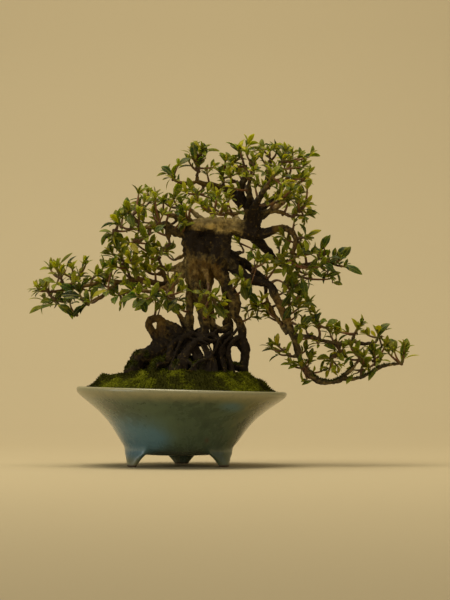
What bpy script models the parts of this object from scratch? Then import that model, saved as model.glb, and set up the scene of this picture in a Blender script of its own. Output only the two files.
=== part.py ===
"""Azalea bonsai, semi-cascade on exposed roots, in a flared three-footed glazed bowl.

Forms are laid out in readings of the photograph (pixel column, pixel row) with a depth in
millimetres (negative is towards the viewer) and are turned into metres in one place.
The front of the tree faces -Y, +Z is up, the floor is z = 0.
"""
import math
import random

import bmesh
import bpy
from mathutils import Vector
from mathutils.bvhtree import BVHTree

# Scale and placing
PIXEL = 0.8            # millimetres of the tree per pixel
AXIS_COLUMN = 218.5    # pixel column of the middle of the pot's rim
FLOOR_ROW = 282.5      # pixel row of the floor under the feet
SHIFT_X = -26.6        # mm, brings the middle of the whole tree to x = 0
GAP = 0.3              # mm between pieces that sit against each other

# Pot, millimetres: radius and height from the pot's own axis and floor
SEGMENTS = 28
POT_OUTER = (
    (5.0, 9.0), (29.0, 9.0), (32.4, 10.6), (36.3, 15.6), (40.5, 22.8), (46.2, 29.7),
    (52.6, 35.2), (61.5, 42.8), (64.3, 45.0), (64.7, 46.2), (63.5, 47.0), (61.6, 46.4),
)
POT_INNER = ((58.6, 43.8), (44.0, 31.4), (36.0, 20.8), (31.4, 14.2), (5.0, 13.2))
SOIL_SIDE = ((31.2, 14.5), (35.75, 21.0), (43.75, 31.65), (57.2, 43.05))
LEAN = 0.028           # the rim is higher on the left
BASE_OFFSET = -2.4     # mm, the foot of the bowl stands left of its rim
FOOT_RINGS = (         # height, distance from the axis, half width around, half width outwards
    (0.0, 31.6, 3.0, 2.0), (3.0, 31.3, 3.9, 2.3), (6.0, 30.7, 6.0, 2.8),
    (9.2, 29.9, 8.8, 3.2), (12.2, 28.6, 10.6, 3.0),
)
FOOT_ANGLES = (-30.0, 90.0, 210.0)
SCREEN_RADIUS = 9.0
SCREEN_THICK = 0.8

# Moss mound, millimetres: radius and height before the pot's lean
MOUND = (
    (0.0, 58.8), (20.0, 58.8), (30.0, 58.6), (37.0, 58.2), (41.0, 57.6), (46.0, 55.4),
    (49.0, 54.0), (53.0, 50.2), (56.0, 48.0), (59.2, 45.8), (70.0, 38.0),
)
MOSS_RINGS = (59.2, 54.0, 48.5, 41.0, 26.0)
UNDER_RINGS = (57.8, 47.5, 30.0)
MOSS_THICK = 3.0
SOIL_DROP = 0.5        # mm between the soil and the underside of the moss
PEG_FLOOR = 49.0       # mm, height of the flat ends of the roots in the soil

# Wood: pixel column, pixel row, depth in mm, radius in pixels
LIMBS = {
    "trunk_left": (
        (226, 100, -2, 6.5), (224.5, 110, -4, 6), (225.5, 121, -4, 5), (227, 132, -4, 4.6),
        (229.3, 142, -4, 4.4), (231.5, 151, -4, 4.2), (233.5, 160, -3, 4.2),
        (235.3, 170, -3, 3.9), (236, 178, -3, 3.9), (231, 185, -3, 4.4), (224, 190, -2, 4.6),
        (219, 197, -2, 4.6),
    ),
    "trunk_middle": (
        (239, 99, 4, 9), (239, 110, 5, 9.5), (238, 121, 5, 9), (237, 131, 5, 7.5),
        (236.5, 141, 5, 6), (237, 150, 5, 4.6), (238.5, 159, 5, 3.8), (240.5, 166.5, 5, 3.2),
        (242, 173, 4, 2.8), (243, 180, 4, 2.8), (245.5, 187, 4, 3), (246, 195, 4, 3.4),
        (245, 204, 3, 3.6), (245, 212, 3, 3.6), (245, 221, 3, 3.6),
    ),
    "trunk_right": (
        (250, 101, 0, 7.5), (248.5, 112, -1, 7.5), (247, 122, -1, 7), (248, 131, -1, 5.6),
        (251.5, 140, -2, 4.6), (255.5, 147.5, -3, 4), (259, 154.5, -3, 3.9),
        (259.6, 161, -3, 3.8), (259.3, 167, -3, 3.6), (262.8, 172, -2, 3.4),
        (264.8, 178, -2, 3.2), (265.2, 184, -2, 3.4), (267, 190.5, -2, 3.7),
        (267.6, 197, -2, 3.7), (266.6, 204, -2, 3.6), (266, 213, -2, 3.6), (266, 221, -2, 3.6),
    ),
    "left_leg": (
        (225, 114, -1, 3.6), (224.2, 128, 0, 3.4), (225, 140, 1, 3.4), (224.8, 150, 2, 3.1),
        (224.5, 160, 2, 3), (224, 169, 2, 3.3), (223.7, 177, 2, 4), (222.5, 186, 1, 4.4),
        (220, 197, 1, 5.4), (219, 210, 0, 5), (219, 222, 0, 5),
    ),
    "bowed_root": (
        (226, 119, 2, 2.6), (219, 127.5, 2, 2.3), (213, 137, 3, 2.2), (210.4, 149, 4, 2.1),
        (212.5, 160, 4, 2.1), (217.6, 168.5, 3, 2.1), (221, 176, 2, 2.4), (223, 185, 2, 2.8),
    ),
    "inner_right_root": (
        (247, 127, 4, 3.4), (250, 141, 4, 2.9), (252.3, 152, 5, 2.6), (252.6, 162, 6, 2.7),
        (254.4, 171, 6, 3.3), (254.5, 179, 6, 3.4), (253.5, 187, 6, 3.2), (253, 195, 6, 3.2),
        (253.8, 204, 6, 3.3), (254, 213, 6, 3.3), (254, 221, 6, 3.3),
    ),
    "loop_root": (
        (238, 181, -2, 3.2), (230.5, 184.5, -2, 4.2), (223, 183.5, -2, 4.5),
        (216, 180, -2, 4.7), (209, 176.3, -1, 4.7), (203.4, 172.4, 0, 3.4),
        (198.8, 168.9, 0, 2.5), (194.3, 169.8, 0, 2.3), (192.4, 174.2, 0, 2.3),
        (194.9, 179.4, 0, 2.3), (198.6, 184.4, 0, 2.6), (201.5, 190.5, -1, 3.1),
        (205, 198, -1, 3.6),
    ),
    "loop_shoulder": ((203.6, 172, -1, 3.2), (204.4, 179, -1, 3.8), (206, 187, 0, 4.6)),
    "left_mass": (
        (240, 186.5, 4, 3.2), (230, 187, 4, 4), (218, 188, 3, 8), (209, 189.5, 2, 8.2),
        (200.5, 194, 1, 7.2), (193, 198, 0, 6.2), (185.5, 200.5, -1, 6.6), (181, 212, -2, 6.6),
        (181, 220, -2, 6.6),
    ),
    "left_mass_core": (
        (213, 180, 2, 6), (210, 190, 2, 8), (209, 201, 1, 8.4), (208, 213, 1, 8.4),
        (208, 222, 1, 8.4),
    ),
    "centre_bar": (
        (219, 199, 2, 6), (228, 203.4, 2, 4.8), (238, 203.8, 3, 4.6), (246, 200, 4, 3),
    ),
    "centre_stump": ((234, 199, 2, 3.2), (236, 213, 0, 6.6), (236, 221, 0, 6.6)),
    "cross_root": ((236, 182, 3, 3.6), (244, 186, 5, 3), (252, 188.5, 6, 2.8)),
    "slant_root_a": (
        (225, 184, -4, 2.8), (229.3, 191, -7, 1.9), (232.8, 197.5, -9, 1.9),
        (233.6, 204, -13, 2.4), (233, 213, -16, 2.8), (233, 221, -16, 2.8),
    ),
    "slant_root_b": (
        (231, 184, -4, 2.6), (236.5, 191, -8, 1.8), (240.6, 198, -11, 2),
        (243.2, 204, -13, 2.4), (244, 213, -15, 2.8), (244, 220, -15, 2.8),
    ),
    "arch_root": (
        (247, 194, 5, 2.8), (250.5, 189, 3, 2.3), (256, 185.6, 0, 2), (261.5, 186, -1, 2.2),
        (266, 191, -2, 2.6),
    ),
    "front_knuckle": (
        (213, 197, -6, 5), (206.5, 202.5, -14, 4.2), (200, 204, -20, 3.9),
        (195, 213, -26, 3.6), (195, 220, -26, 3.6),
    ),
    "back_root_a": (
        (233, 179, 6, 4), (225, 186, 13, 4.2), (219, 195, 19, 4.6), (216, 206, 23, 5),
        (215, 220, 24, 5),
    ),
    "back_root_b": (
        (253, 171, 7, 3.2), (254.5, 180, 13, 3.4), (253, 191, 18, 3.8), (250, 202, 22, 4.2),
        (248, 220, 23, 4.2),
    ),
    "bridge": (
        (221, 104, -3, 4.8), (229, 98.5, -3, 5.4), (239, 97.6, -3, 6.2), (250, 97.6, -2, 6.3),
        (260, 98.8, -1, 6.5), (268, 101, 0, 7), (276, 104, 0, 6.6),
    ),
    "riser": (
        (268, 103, 0, 6.6), (272.5, 95, 1, 7), (273.5, 88, 2, 7.2), (271, 81.5, 3, 6),
        (266.5, 77.5, 3, 4.2),
    ),
    "crown_left": (
        (266, 82, 3, 4.2), (260.5, 75, 5, 3.3), (256, 70.2, 6, 2.9), (250, 67.4, 7, 2.6),
        (243, 66, 7, 2.4), (236, 65.2, 6, 2.1), (230, 63.4, 4, 1.9), (223, 65, 2, 1.6),
        (216, 63.6, 0, 1.3),
    ),
    "crown_middle": (
        (267, 81, 2, 3.6), (264, 73, 0, 2.7), (265, 66, -2, 2.3), (268, 59.5, -3, 2),
        (266.5, 52, -3, 1.5),
    ),
    "crown_top": (
        (275, 82, 0, 3.4), (280, 73, -1, 2.3), (284, 63, -2, 1.9), (286.5, 52, -3, 1.4),
    ),
    "crown_front": (
        (272, 90, -4, 3.8), (275.5, 82, -13, 2.8), (280, 75, -22, 2.1), (284, 68.5, -29, 1.5),
    ),
    "crown_back": ((271, 86, 8, 4), (272, 78, 17, 2.8), (270, 69, 25, 2.1), (266, 60.5, 31, 1.4)),
    "crown_right": (
        (277, 85, 4, 3.6), (284, 80.5, 8, 2.5), (290.5, 74, 11, 2.1), (296.5, 67, 12, 1.7),
        (301, 58.5, 12, 1.3),
    ),
    "crown_low_right": (
        (278, 89, 0, 3), (286, 87, -3, 1.6), (294, 87.6, -6, 1.3), (301, 90.6, -8, 1.2),
    ),
    "crown_back_right": (
        (278, 90, 7, 3.6), (287, 85, 16, 2.3), (295, 79, 24, 1.8), (302, 73, 29, 1.3),
    ),
    "right_limb": (
        (275, 103, 0, 5.4), (282, 103.6, -2, 4), (290, 101.4, -5, 2.9), (297, 100.2, -8, 2.5),
        (302.6, 103, -10, 2.4), (306, 108.4, -11, 2.2), (305.4, 114.6, -11, 1.8),
        (303, 121, -11, 1.4),
    ),
    "right_down": (
        (274, 106, 3, 4.4), (280, 111.6, 6, 3.5), (286, 117.6, 10, 2.8), (292, 124, 13, 2.3),
        (299, 128, 14, 1.9), (307, 128.4, 13, 1.6), (315, 126.6, 12, 1.3),
    ),
    "cascade": (
        (250, 120, 1, 6), (257, 128, 0, 5.2), (264, 134.5, -3, 4.5), (271, 139.4, -6, 3.9),
        (279, 141.5, -9, 3.3), (285, 143.4, -11, 3), (289, 149.4, -12, 3), (292.3, 157, -12, 3),
        (296.4, 165, -11, 3), (300, 173, -10, 2.8), (303.5, 181.4, -9, 2.6), (306.3, 190, -8, 2.5),
        (308.5, 198, -7, 2.3), (312, 206, -6, 2.3), (316.6, 212.6, -5, 2.6), (323, 217, -4, 2.2),
        (331, 218.5, -3, 2), (338, 217.4, -2, 2.2), (344, 213.6, -1, 1.9),
    ),
    "cascade_run": (
        (341, 215.8, -1, 1.6), (350, 216, -1, 1.3), (357, 214.3, 0, 1.3), (364, 211.3, 1, 1.3),
        (370, 207.7, 2, 1.2), (376, 205.2, 3, 1.2), (384, 204.3, 4, 1.1),
    ),
    "cascade_rise": ((342, 214.6, -1, 1.7), (348.5, 209, -3, 1.3), (353, 203.5, -4, 1.2)),
    "cascade_second": (
        (304, 182.4, -9, 2), (310, 183, -10, 1.6), (317, 183.7, -10, 1.5), (324, 185.8, -8, 1.4),
        (331, 187.4, -6, 1.3), (340, 188.3, -4, 1.3), (350, 187, -2, 1.5), (358, 188.7, 0, 1.3),
        (365, 188, 2, 1.2),
    ),
    "cascade_companion": (
        (283, 143.6, -9, 1.8), (283, 150, -6, 1.3), (284.6, 157, -5, 1.3), (288, 164, -5, 1.3),
        (293, 171, -6, 1.3), (300, 176, -9, 1.4),
    ),
    "cascade_upper": (
        (252, 118, 5, 5.4), (260, 123.5, 6, 4.1), (268, 127.6, 6, 3.4), (276, 133.6, 3, 2.8),
        (283, 141, -6, 2.4),
    ),
    "stub_left": (
        (225, 104.4, -3, 4.8), (216, 102.8, -3, 3.4), (210, 100.6, -3, 3.6), (206, 97, -3, 3.3),
        (201, 97.8, -4, 1.9), (194, 99.3, -6, 1.4), (187, 100.6, -8, 1.3), (180, 101, -10, 1.2),
    ),
    "stub_spike": ((207, 99, -3, 3), (207.6, 104, -3, 2.3), (208.6, 108.6, -3, 1.2)),
    "upper_left": (
        (229, 101, 3, 3.4), (223, 95, 6, 2.4), (216, 91, 9, 2), (209, 88, 11, 1.8),
        (203, 86.5, 12, 1.5),
    ),
    "upper_left_second": (
        (239, 102, 3, 3.4), (236, 96, 4, 3.2), (229, 88, 8, 2), (222, 83, 11, 1.6),
        (214, 82.5, 13, 1.3),
    ),
    "upper_back": (
        (243, 103, 3, 3.4), (244, 96, 4, 3.2), (243, 89, 12, 2.3), (241, 84, 19, 1.8),
        (238, 80.5, 25, 1.3),
    ),
    "left_low": (
        (228, 124, 2, 4.4), (220, 133, 3, 3.4), (213, 140, 2, 2.8), (206, 143, 0, 2.6),
        (198, 142, -3, 2.2), (189, 139.6, -5, 2), (179, 140, -6, 1.8), (170, 141.6, -6, 1.6),
        (163, 140.3, -6, 1.5), (156, 141, -5, 1.4), (149, 143.3, -4, 1.3), (142, 144.8, -3, 1.3),
        (135, 146, -2, 1.2), (127.5, 147.8, -2, 1.2), (120, 148.6, -2, 1.1),
    ),
    "left_dip": ((168, 141.6, -6, 1.5), (164, 147, -8, 1.3), (159, 152, -9, 1.2), (153, 156, -10, 1.1)),
    "left_rise": ((208, 142, 2, 2.4), (204, 134, 5, 1.9), (201.5, 126, 7, 1.3)),
    "left_back": (
        (222, 128, 6, 3.6), (211, 130, 17, 2.5), (202, 128.5, 24, 2), (192, 127, 30, 1.6),
        (184, 124, 34, 1.3),
    ),
    "left_front": ((215, 139, 0, 2.6), (206, 146, -10, 1.9), (197, 149, -17, 1.6), (188, 149, -22, 1.3)),
    "trunk_front": ((236, 128, 3, 3), (236, 130, -3, 3), (238, 138, -12, 1.6), (239, 145, -18, 1.3)),
    "back_branch": (
        (243, 114, 8, 4.6), (247, 116, 19, 3.2), (252, 117, 27, 2.4), (258, 117, 33, 1.8),
        (264, 116, 37, 1.3),
    ),
    "back_branch_left": ((235, 112, 8, 4.2), (229, 113, 19, 2.8), (222, 117, 27, 2), (214, 121, 33, 1.3)),
}
PEGS = (
    "trunk_middle", "trunk_right", "left_leg", "inner_right_root", "left_mass",
    "left_mass_core", "centre_stump", "slant_root_a", "slant_root_b",
    "front_knuckle", "back_root_a", "back_root_b",
)

# Leafy shoots: limb and point they spring from; whorls as column, row, depth, leaves, leaf
# length in mm; single leaves as whorl, column, row and depth of the tip, width in mm
SPRAYS = (
    ("left_low", 14, ((113, 146.5, -2, 6, 7.5), (121, 156, -4, 5, 7.5)),
     ((1, 102, 165.5, -6, 3.4), (1, 137, 170, -10, 5), (0, 102, 152, -4, 3))),
    ("left_low", 13, ((125.5, 135, -5, 6, 7.5), (122.5, 143, -7, 3, 8)),
     ((0, 135.5, 118, -3, 2.6), (0, 119, 126, -5, 3))),
    ("left_low", 12, ((140, 136, 2, 6, 7), (133, 139, 5, 4, 7)), ((0, 148.5, 120, 2, 3),)),
    ("left_dip", 3, ((147, 157, -11, 5, 8),), ((0, 128, 153, -14, 6.4), (0, 134.5, 168, -10, 4.4))),
    ("left_low", 10, ((153, 136, -3, 5, 7.5), (158, 130, -1, 5, 7.5)), ()),
    ("left_low", 8, ((165, 131, -12, 5, 8), (162, 149, -13, 4, 8)), ()),
    ("left_low", 6, ((172, 124, -3, 5, 8), (181, 128, -9, 5, 8)), ((0, 155, 119, -4, 2.4),)),
    ("left_low", 5, ((180, 149, -13, 5, 8), (170, 152, -11, 4, 8)), ((0, 172, 161, -15, 3),)),
    ("left_front", 3, ((186, 154, -28, 5, 8.5), (196, 154, -25, 4, 8)), ((1, 181, 163, -29, 6),)),
    ("left_front", 1, ((206, 154, -17, 4, 8.5),), ((0, 208, 164.5, -19, 4.4),)),
    ("left_rise", 2, ((197, 116, 9, 5, 8), (207, 117, 6, 4, 8)), ((0, 186, 124, 4, 3.4),)),
    ("stub_left", 7, ((170, 97, -12, 6, 8.5), (166, 106, -9, 5, 8)), ((1, 157.5, 113, -8, 4.4),)),
    ("stub_left", 6, ((178, 88, -7, 6, 9),), ((0, 181, 99, -14, 4.6),)),
    ("stub_left", 5, ((191, 108, -9, 5, 8), (178, 112, -13, 5, 8)), ((1, 166, 118, -12, 3.4),)),
    ("upper_left", 4, ((196, 75, 14, 6, 7.5), (188, 83, 16, 5, 8)),
     ((0, 183, 67.5, 13, 3), (0, 175, 76, 16, 3))),
    ("upper_left_second", 4, ((205, 79, 12, 5, 8), (212, 75, 18, 4, 7.5)), ()),
    ("upper_back", 4, ((230, 76, 28, 5, 8), (242, 76, 27, 5, 8)), ()),
    ("bridge", 1, ((222, 93, -8, 4, 8),), ((0, 215, 101, -11, 4.6),)),
    ("crown_left", 8, ((211, 59.5, 0, 4, 7.5),), ((0, 202, 54, -1, 5), (0, 206, 69, 0, 2.8))),
    ("crown_left", 6, ((231, 50, 3, 6, 8), (232.5, 41, 4, 5, 7)),
     ((1, 248, 39, 3, 2.6), (0, 216, 50, 2, 4.4))),
    ("crown_left", 5, ((228, 72, 0, 5, 7.5), (240, 76, 1, 5, 7.5)), ()),
    ("crown_left", 3, ((249, 57, 9, 5, 7.5), (256, 48, 7, 6, 7.5)), ()),
    ("crown_middle", 4, ((263, 40, -4, 6, 7.5), (270, 36, -2, 4, 7)), ((0, 262, 33, -4, 2.6),)),
    ("crown_top", 3, ((280, 39, -3, 5, 7.5), (290, 39, -6, 6, 7.5)), ((1, 290, 31.5, -6, 2.8),)),
    ("crown_top", 1, ((291, 58, -10, 5, 7.5), (296, 48, -9, 5, 7.5)), ()),
    ("crown_right", 4, ((301, 45, 11, 5, 7.5), (309, 49, 13, 4, 8)),
     ((1, 322, 41, 12, 5.4), (0, 316, 40, 10, 3))),
    ("crown_right", 2, ((301, 68, 17, 5, 7.5), (311, 62, 15, 5, 7.5)), ((1, 322, 60, 14, 3),)),
    ("crown_front", 3, ((287, 63, -33, 5, 7.5), (295, 70, -31, 5, 7.5)), ()),
    ("crown_back", 3, ((262, 53, 34, 5, 7.5), (274, 51, 34, 5, 7.5)), ()),
    ("crown_back_right", 3, ((309, 71, 31, 5, 7.5), (309, 80, 33, 4, 7.5)), ()),
    ("crown_low_right", 3, ((308, 84, -10, 5, 7.5), (313, 92, -9, 4, 7.5)),
     ((0, 322, 82, -11, 2.8), (0, 324.5, 88, -10, 2.8))),
    ("right_limb", 5, ((314, 109, -14, 5, 8),), ((0, 326, 102.5, -15, 2.8),)),
    ("right_limb", 7, ((298, 128, -16, 5, 8), (308, 122, -19, 4, 8)), ()),
    ("right_down", 6, ((325, 122, 12, 5, 8), (336, 126, 10, 4, 8)),
     ((0, 333, 104, 12, 4.2), (1, 349, 114, 8, 5.2), (1, 358, 134.5, 9, 5), (1, 342, 143, 9, 4.2))),
    ("right_down", 5, ((316, 134, 17, 4, 8.5), (310, 137, 10, 3, 9)), ((1, 314, 154, 10, 5),)),
    ("cascade", 3, ((277, 127, -13, 4, 8),), ((0, 268, 154, -12, 5.2),)),
    ("cascade", 5, ((297, 143, -15, 5, 8), (303, 150, -14, 5, 8)), ()),
    ("cascade", 7, ((303, 160, -13, 5, 8),), ((0, 323, 162, -14, 4.6),)),
    ("cascade_companion", 2, ((277.5, 160, -1, 5, 7), (269, 163.5, 2, 4, 6.5)), ()),
    ("cascade", 9, ((309, 177, -16, 5, 8),), ((0, 318, 168, -15, 4),)),
    ("cascade", 12, ((299, 196, -9, 2, 6), (291.5, 190, -7, 6, 7)), ()),
    ("cascade", 14, ((310, 206, -9, 4, 7.5),), ((0, 298, 202, -10, 3.6), (0, 311, 220, -9, 3))),
    ("cascade_second", 3, ((321, 174, -12, 5, 7.5), (330, 177, -10, 4, 7.5)),
     ((0, 325, 164, -12, 4), (1, 339, 171, -9, 4.4))),
    ("cascade_second", 5, ((338, 196, -4, 5, 8), (333, 202, -6, 4, 8)), ()),
    ("cascade_second", 8, ((370, 180, 3, 5, 6.5), (373, 191, 5, 5, 7.5)),
     ((0, 378.5, 172, 4, 4.2), (1, 384, 193, 7, 3))),
    ("cascade_rise", 2, ((353, 197, -5, 5, 7.5),), ((0, 343, 205, -6, 4),)),
    ("cascade_run", 2, ((359, 204, 1, 5, 8),), ((0, 358, 190, 0, 4),)),
    ("cascade_run", 4, ((367, 200, 5, 4, 7.5),), ((0, 364, 216, 4, 4.6),)),
    ("cascade_run", 6, ((390, 199.5, 5, 4, 7),), ((0, 393, 184, 5, 4.8),)),
    ("back_branch", 4, ((263, 108, 40, 5, 8.5), (274, 113, 40, 5, 8.5)), ()),
    ("back_branch_left", 3, ((206, 118, 36, 5, 8.5),), ()),
    ("left_back", 4, ((176, 121, 36, 5, 8.5), (184, 133, 36, 5, 8.5)), ()),
    ("trunk_front", 3, ((235, 152, -22, 5, 7), (244, 154, -21, 3, 7)), ((1, 252, 167, -22, 4.4),)),
)
WOOD_SHARE = 0.49      # share of the joined wood's triangles that is kept
TIP_KEPT = 1.6         # mm around the foot of a shoot where the wood keeps its shape
LEAF_GROWTH = 1.3      # scale of the whorls' leaves against the lengths listed
LEAF_THICK = 0.8       # mm at the midrib
TWIG_RADIUS = 0.85     # mm at the foot of a shoot
TIP_RADIUS = 0.62      # mm at a whorl
BAND = 0.75            # mm between the rings of a hub


def place(column, row, depth):
    """Return a photograph reading as a point in millimetres."""
    return Vector(((column - AXIS_COLUMN) * PIXEL, depth, (FLOOR_ROW - row) * PIXEL))


def lean(point):
    """Apply the bowl's uneven stand to a point of the pot, soil or moss."""
    share = min(max((point[2] - 9.0) / 38.0, 0.0), 1.0)
    return Vector((point[0] + BASE_OFFSET * (1.0 - share), point[1],
                   point[2] - LEAN * point[0] * share))


def mound_height(radius):
    """Return the height of the moss before the lean."""
    for (near, low), (far, high) in zip(MOUND, MOUND[1:]):
        if radius <= far:
            return low + (high - low) * (radius - near) / (far - near)
    return MOUND[-1][1]


def moss_top(x, y):
    """Return the height of the moss at a place, with its gentle waves."""
    radius = math.hypot(x, y)
    fade = min(max((57.0 - radius) / 12.0, 0.0), 1.0)
    wave = 0.7 * math.sin(x * 0.21 + 1.0) * math.cos(y * 0.17 - 0.6)
    return mound_height(radius) + wave * fade


def frame_of(direction):
    """Return two unit vectors square to a direction."""
    side = direction.cross(Vector((0.31, 0.17, 0.93)))
    if side.length < 0.05:
        side = direction.cross(Vector((1.0, 0.0, 0.0)))
    side.normalize()
    return side, direction.cross(side).normalized()


def tube(points, radii, sides, rough=0.0, seed=0, flat_end=None):
    """Return the closed mesh of a tube through points, its rings carried without twist."""
    rng = random.Random(seed)
    points = [Vector(p) for p in points]
    steps = [(b - a).normalized() for a, b in zip(points, points[1:])]
    tangents = [steps[0]] + [(a + b).normalized() for a, b in zip(steps, steps[1:])] + [steps[-1]]
    side, _ = frame_of(tangents[0])
    verts = []
    for index, (point, tangent) in enumerate(zip(points, tangents)):
        side = (side - tangent * side.dot(tangent)).normalized()
        other = tangent.cross(side)
        plain = rough == 0.0 or (flat_end is not None and index >= len(points) - flat_end)
        for step in range(sides):
            angle = math.tau * step / sides
            factor = 1.0 if plain else 1.0 + rng.uniform(-rough, rough)
            offset = side * math.cos(angle) + other * math.sin(angle)
            verts.append(point + offset * radii[index] * factor)
    faces = [(0, step + 1, step) for step in range(1, sides - 1)]
    for ring in range(len(points) - 1):
        low = ring * sides
        for step in range(sides):
            nxt = (step + 1) % sides
            faces.append((low + step, low + nxt, low + sides + nxt))
            faces.append((low + step, low + sides + nxt, low + sides + step))
    top = (len(points) - 1) * sides
    faces.extend((top, top + step, top + step + 1) for step in range(1, sides - 1))
    return verts, faces


def triangles(faces):
    """Return polygons cut into triangles."""
    cut = []
    for face in faces:
        cut.extend((face[0], face[k], face[k + 1]) for k in range(1, len(face) - 1))
    return cut


def make(name, verts, faces, leaning=False):
    """Make an object from points in millimetres about the pot's axis."""
    mesh = bpy.data.meshes.new(name)
    shift = Vector((SHIFT_X, 0.0, 0.0))
    points = [lean(v) if leaning else Vector(v) for v in verts]
    mesh.from_pydata([(p + shift) * 0.001 for p in points], [], triangles(faces))
    obj = bpy.data.objects.new(name, mesh)
    bpy.context.scene.collection.objects.link(obj)
    return obj


def boolean(obj, others, operation, solver="MANIFOLD"):
    """Join or cut an object with others, then remove them."""
    group = bpy.data.collections.new(obj.name + "_operands")
    for other in others:
        group.objects.link(other)
    modifier = obj.modifiers.new("join", "BOOLEAN")
    modifier.operation = operation
    modifier.operand_type = "COLLECTION"
    modifier.collection = group
    modifier.solver = solver
    bpy.context.view_layer.update()
    bpy.context.view_layer.objects.active = obj
    bpy.ops.object.modifier_apply(modifier="join")
    for other in others:
        bpy.data.objects.remove(other)
    bpy.data.collections.remove(group)


def shells(bm):
    """Return the separate shells of a mesh as lists of faces."""
    left = set(bm.faces)
    found = []
    while left:
        start = left.pop()
        shell = [start]
        stack = [start]
        while stack:
            face = stack.pop()
            for edge in face.edges:
                for near in edge.link_faces:
                    if near in left:
                        left.discard(near)
                        shell.append(near)
                        stack.append(near)
        found.append(shell)
    return found


def tidy_shells(obj):
    """Keep the largest shell: closed pockets inside a solid and loose crumbs go."""
    bm = bmesh.new()
    bm.from_mesh(obj.data)
    bmesh.ops.triangulate(bm, faces=bm.faces)
    groups = shells(bm)
    groups.sort(key=len, reverse=True)
    for shell in groups[1:]:
        bmesh.ops.delete(bm, geom=shell, context="FACES")
    bm.to_mesh(obj.data)
    bm.free()


def finish(obj, material):
    """Give an object its material."""
    obj.data.materials.clear()
    obj.data.materials.append(material)


def surface(name, colour, roughness):
    """Return a plain Principled material."""
    material = bpy.data.materials.new(name)
    material.use_nodes = True
    shader = material.node_tree.nodes["Principled BSDF"]
    shader.inputs["Base Color"].default_value = (*colour, 1.0)
    shader.inputs["Roughness"].default_value = roughness
    return material


def revolve(profile, closed_axis):
    """Return the mesh of a turned solid; the profile closes on itself or ends on the axis."""
    verts = []
    faces = []
    rings = []
    for radius, height in profile:
        if radius == 0.0:
            rings.append([len(verts)])
            verts.append(Vector((0.0, 0.0, height)))
            continue
        rings.append(list(range(len(verts), len(verts) + SEGMENTS)))
        for step in range(SEGMENTS):
            angle = math.tau * step / SEGMENTS
            verts.append(Vector((radius * math.cos(angle), radius * math.sin(angle), height)))
    pairs = list(zip(rings, rings[1:]))
    if not closed_axis:
        pairs.append((rings[-1], rings[0]))
    for low, high in pairs:
        for step in range(SEGMENTS):
            nxt = (step + 1) % SEGMENTS
            if len(low) == 1:
                faces.append((low[0], high[nxt], high[step]))
            elif len(high) == 1:
                faces.append((low[step], low[nxt], high[0]))
            else:
                faces.append((low[step], low[nxt], high[nxt], high[step]))
    return verts, faces


def build_pot(material):
    """Build the bowl with its drain hole and three tapering feet."""
    verts, faces = revolve(POT_OUTER + POT_INNER, False)
    pot = make("pot", verts, faces, leaning=True)
    feet = []
    for number, degrees in enumerate(FOOT_ANGLES):
        angle = math.radians(degrees)
        out = Vector((math.cos(angle), math.sin(angle), 0.0))
        around = Vector((-out.y, out.x, 0.0))
        ring_points = []
        for height, distance, wide, deep in FOOT_RINGS:
            for step in range(10):
                turn = math.tau * step / 10
                point = out * (distance + deep * math.cos(turn)) + around * wide * math.sin(turn)
                ring_points.append(point + Vector((BASE_OFFSET, 0.0, height)))
        rings = len(FOOT_RINGS)
        faces = [tuple(reversed(range(10))), tuple(range(10 * rings - 10, 10 * rings))]
        for ring in range(rings - 1):
            for step in range(10):
                low = ring * 10 + step
                nxt = ring * 10 + (step + 1) % 10
                faces.append((low, nxt, nxt + 10, low + 10))
        feet.append(make("foot_%d" % number, ring_points, faces))
    boolean(pot, feet, "UNION")
    tidy_shells(pot)
    finish(pot, material)
    return pot


def build_screen(material):
    """Build the drain screen: a thin disc with a ring of round holes."""
    low = 13.2 + GAP
    high = low + SCREEN_THICK
    centre = Vector((BASE_OFFSET, 0.0, 0.0))
    verts, faces = tube((centre + Vector((0, 0, low)), centre + Vector((0, 0, high))),
                        (SCREEN_RADIUS, SCREEN_RADIUS), 18)
    screen = make("drain_screen", verts, faces)
    holes = []
    for number in range(5):
        angle = math.tau * number / 5
        reach = 4.2
        spot = centre + Vector((reach * math.cos(angle), reach * math.sin(angle), 0.0))
        verts, faces = tube((spot + Vector((0, 0, low - 1)), spot + Vector((0, 0, high + 1))),
                            (1.6, 1.6), 6)
        holes.append(make("hole_%d" % number, verts, faces))
    boolean(screen, holes, "DIFFERENCE")
    thin_out(screen, 0.6)
    finish(screen, material)
    return screen


def mound_mesh(rings, under, top_level):
    """Return a mound: rings under a top surface, closed below by a given profile."""
    verts = []
    faces = []
    loops = []
    for radius in rings:
        loop = []
        for step in range(SEGMENTS):
            angle = math.tau * step / SEGMENTS
            x = radius * math.cos(angle)
            y = radius * math.sin(angle)
            loop.append(len(verts))
            verts.append(Vector((x, y, top_level(x, y))))
        loops.append(loop)
    top = len(verts)
    verts.append(Vector((0.0, 0.0, top_level(0.0, 0.0))))
    below = []
    for radius, height in under:
        loop = []
        for step in range(SEGMENTS):
            angle = math.tau * step / SEGMENTS
            x = radius * math.cos(angle)
            y = radius * math.sin(angle)
            loop.append(len(verts))
            verts.append(Vector((x, y, height)))
        below.append(loop)
    bottom = len(verts)
    verts.append(Vector((0.0, 0.0, under[-1][1])))
    chain = list(reversed(below)) + loops
    for low, high in zip(chain, chain[1:]):
        for step in range(SEGMENTS):
            nxt = (step + 1) % SEGMENTS
            faces.append((low[step], low[nxt], high[nxt], high[step]))
    for step in range(SEGMENTS):
        nxt = (step + 1) % SEGMENTS
        faces.append((loops[-1][step], loops[-1][nxt], top))
        faces.append((below[-1][nxt], below[-1][step], bottom))
    return verts, faces


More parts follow.
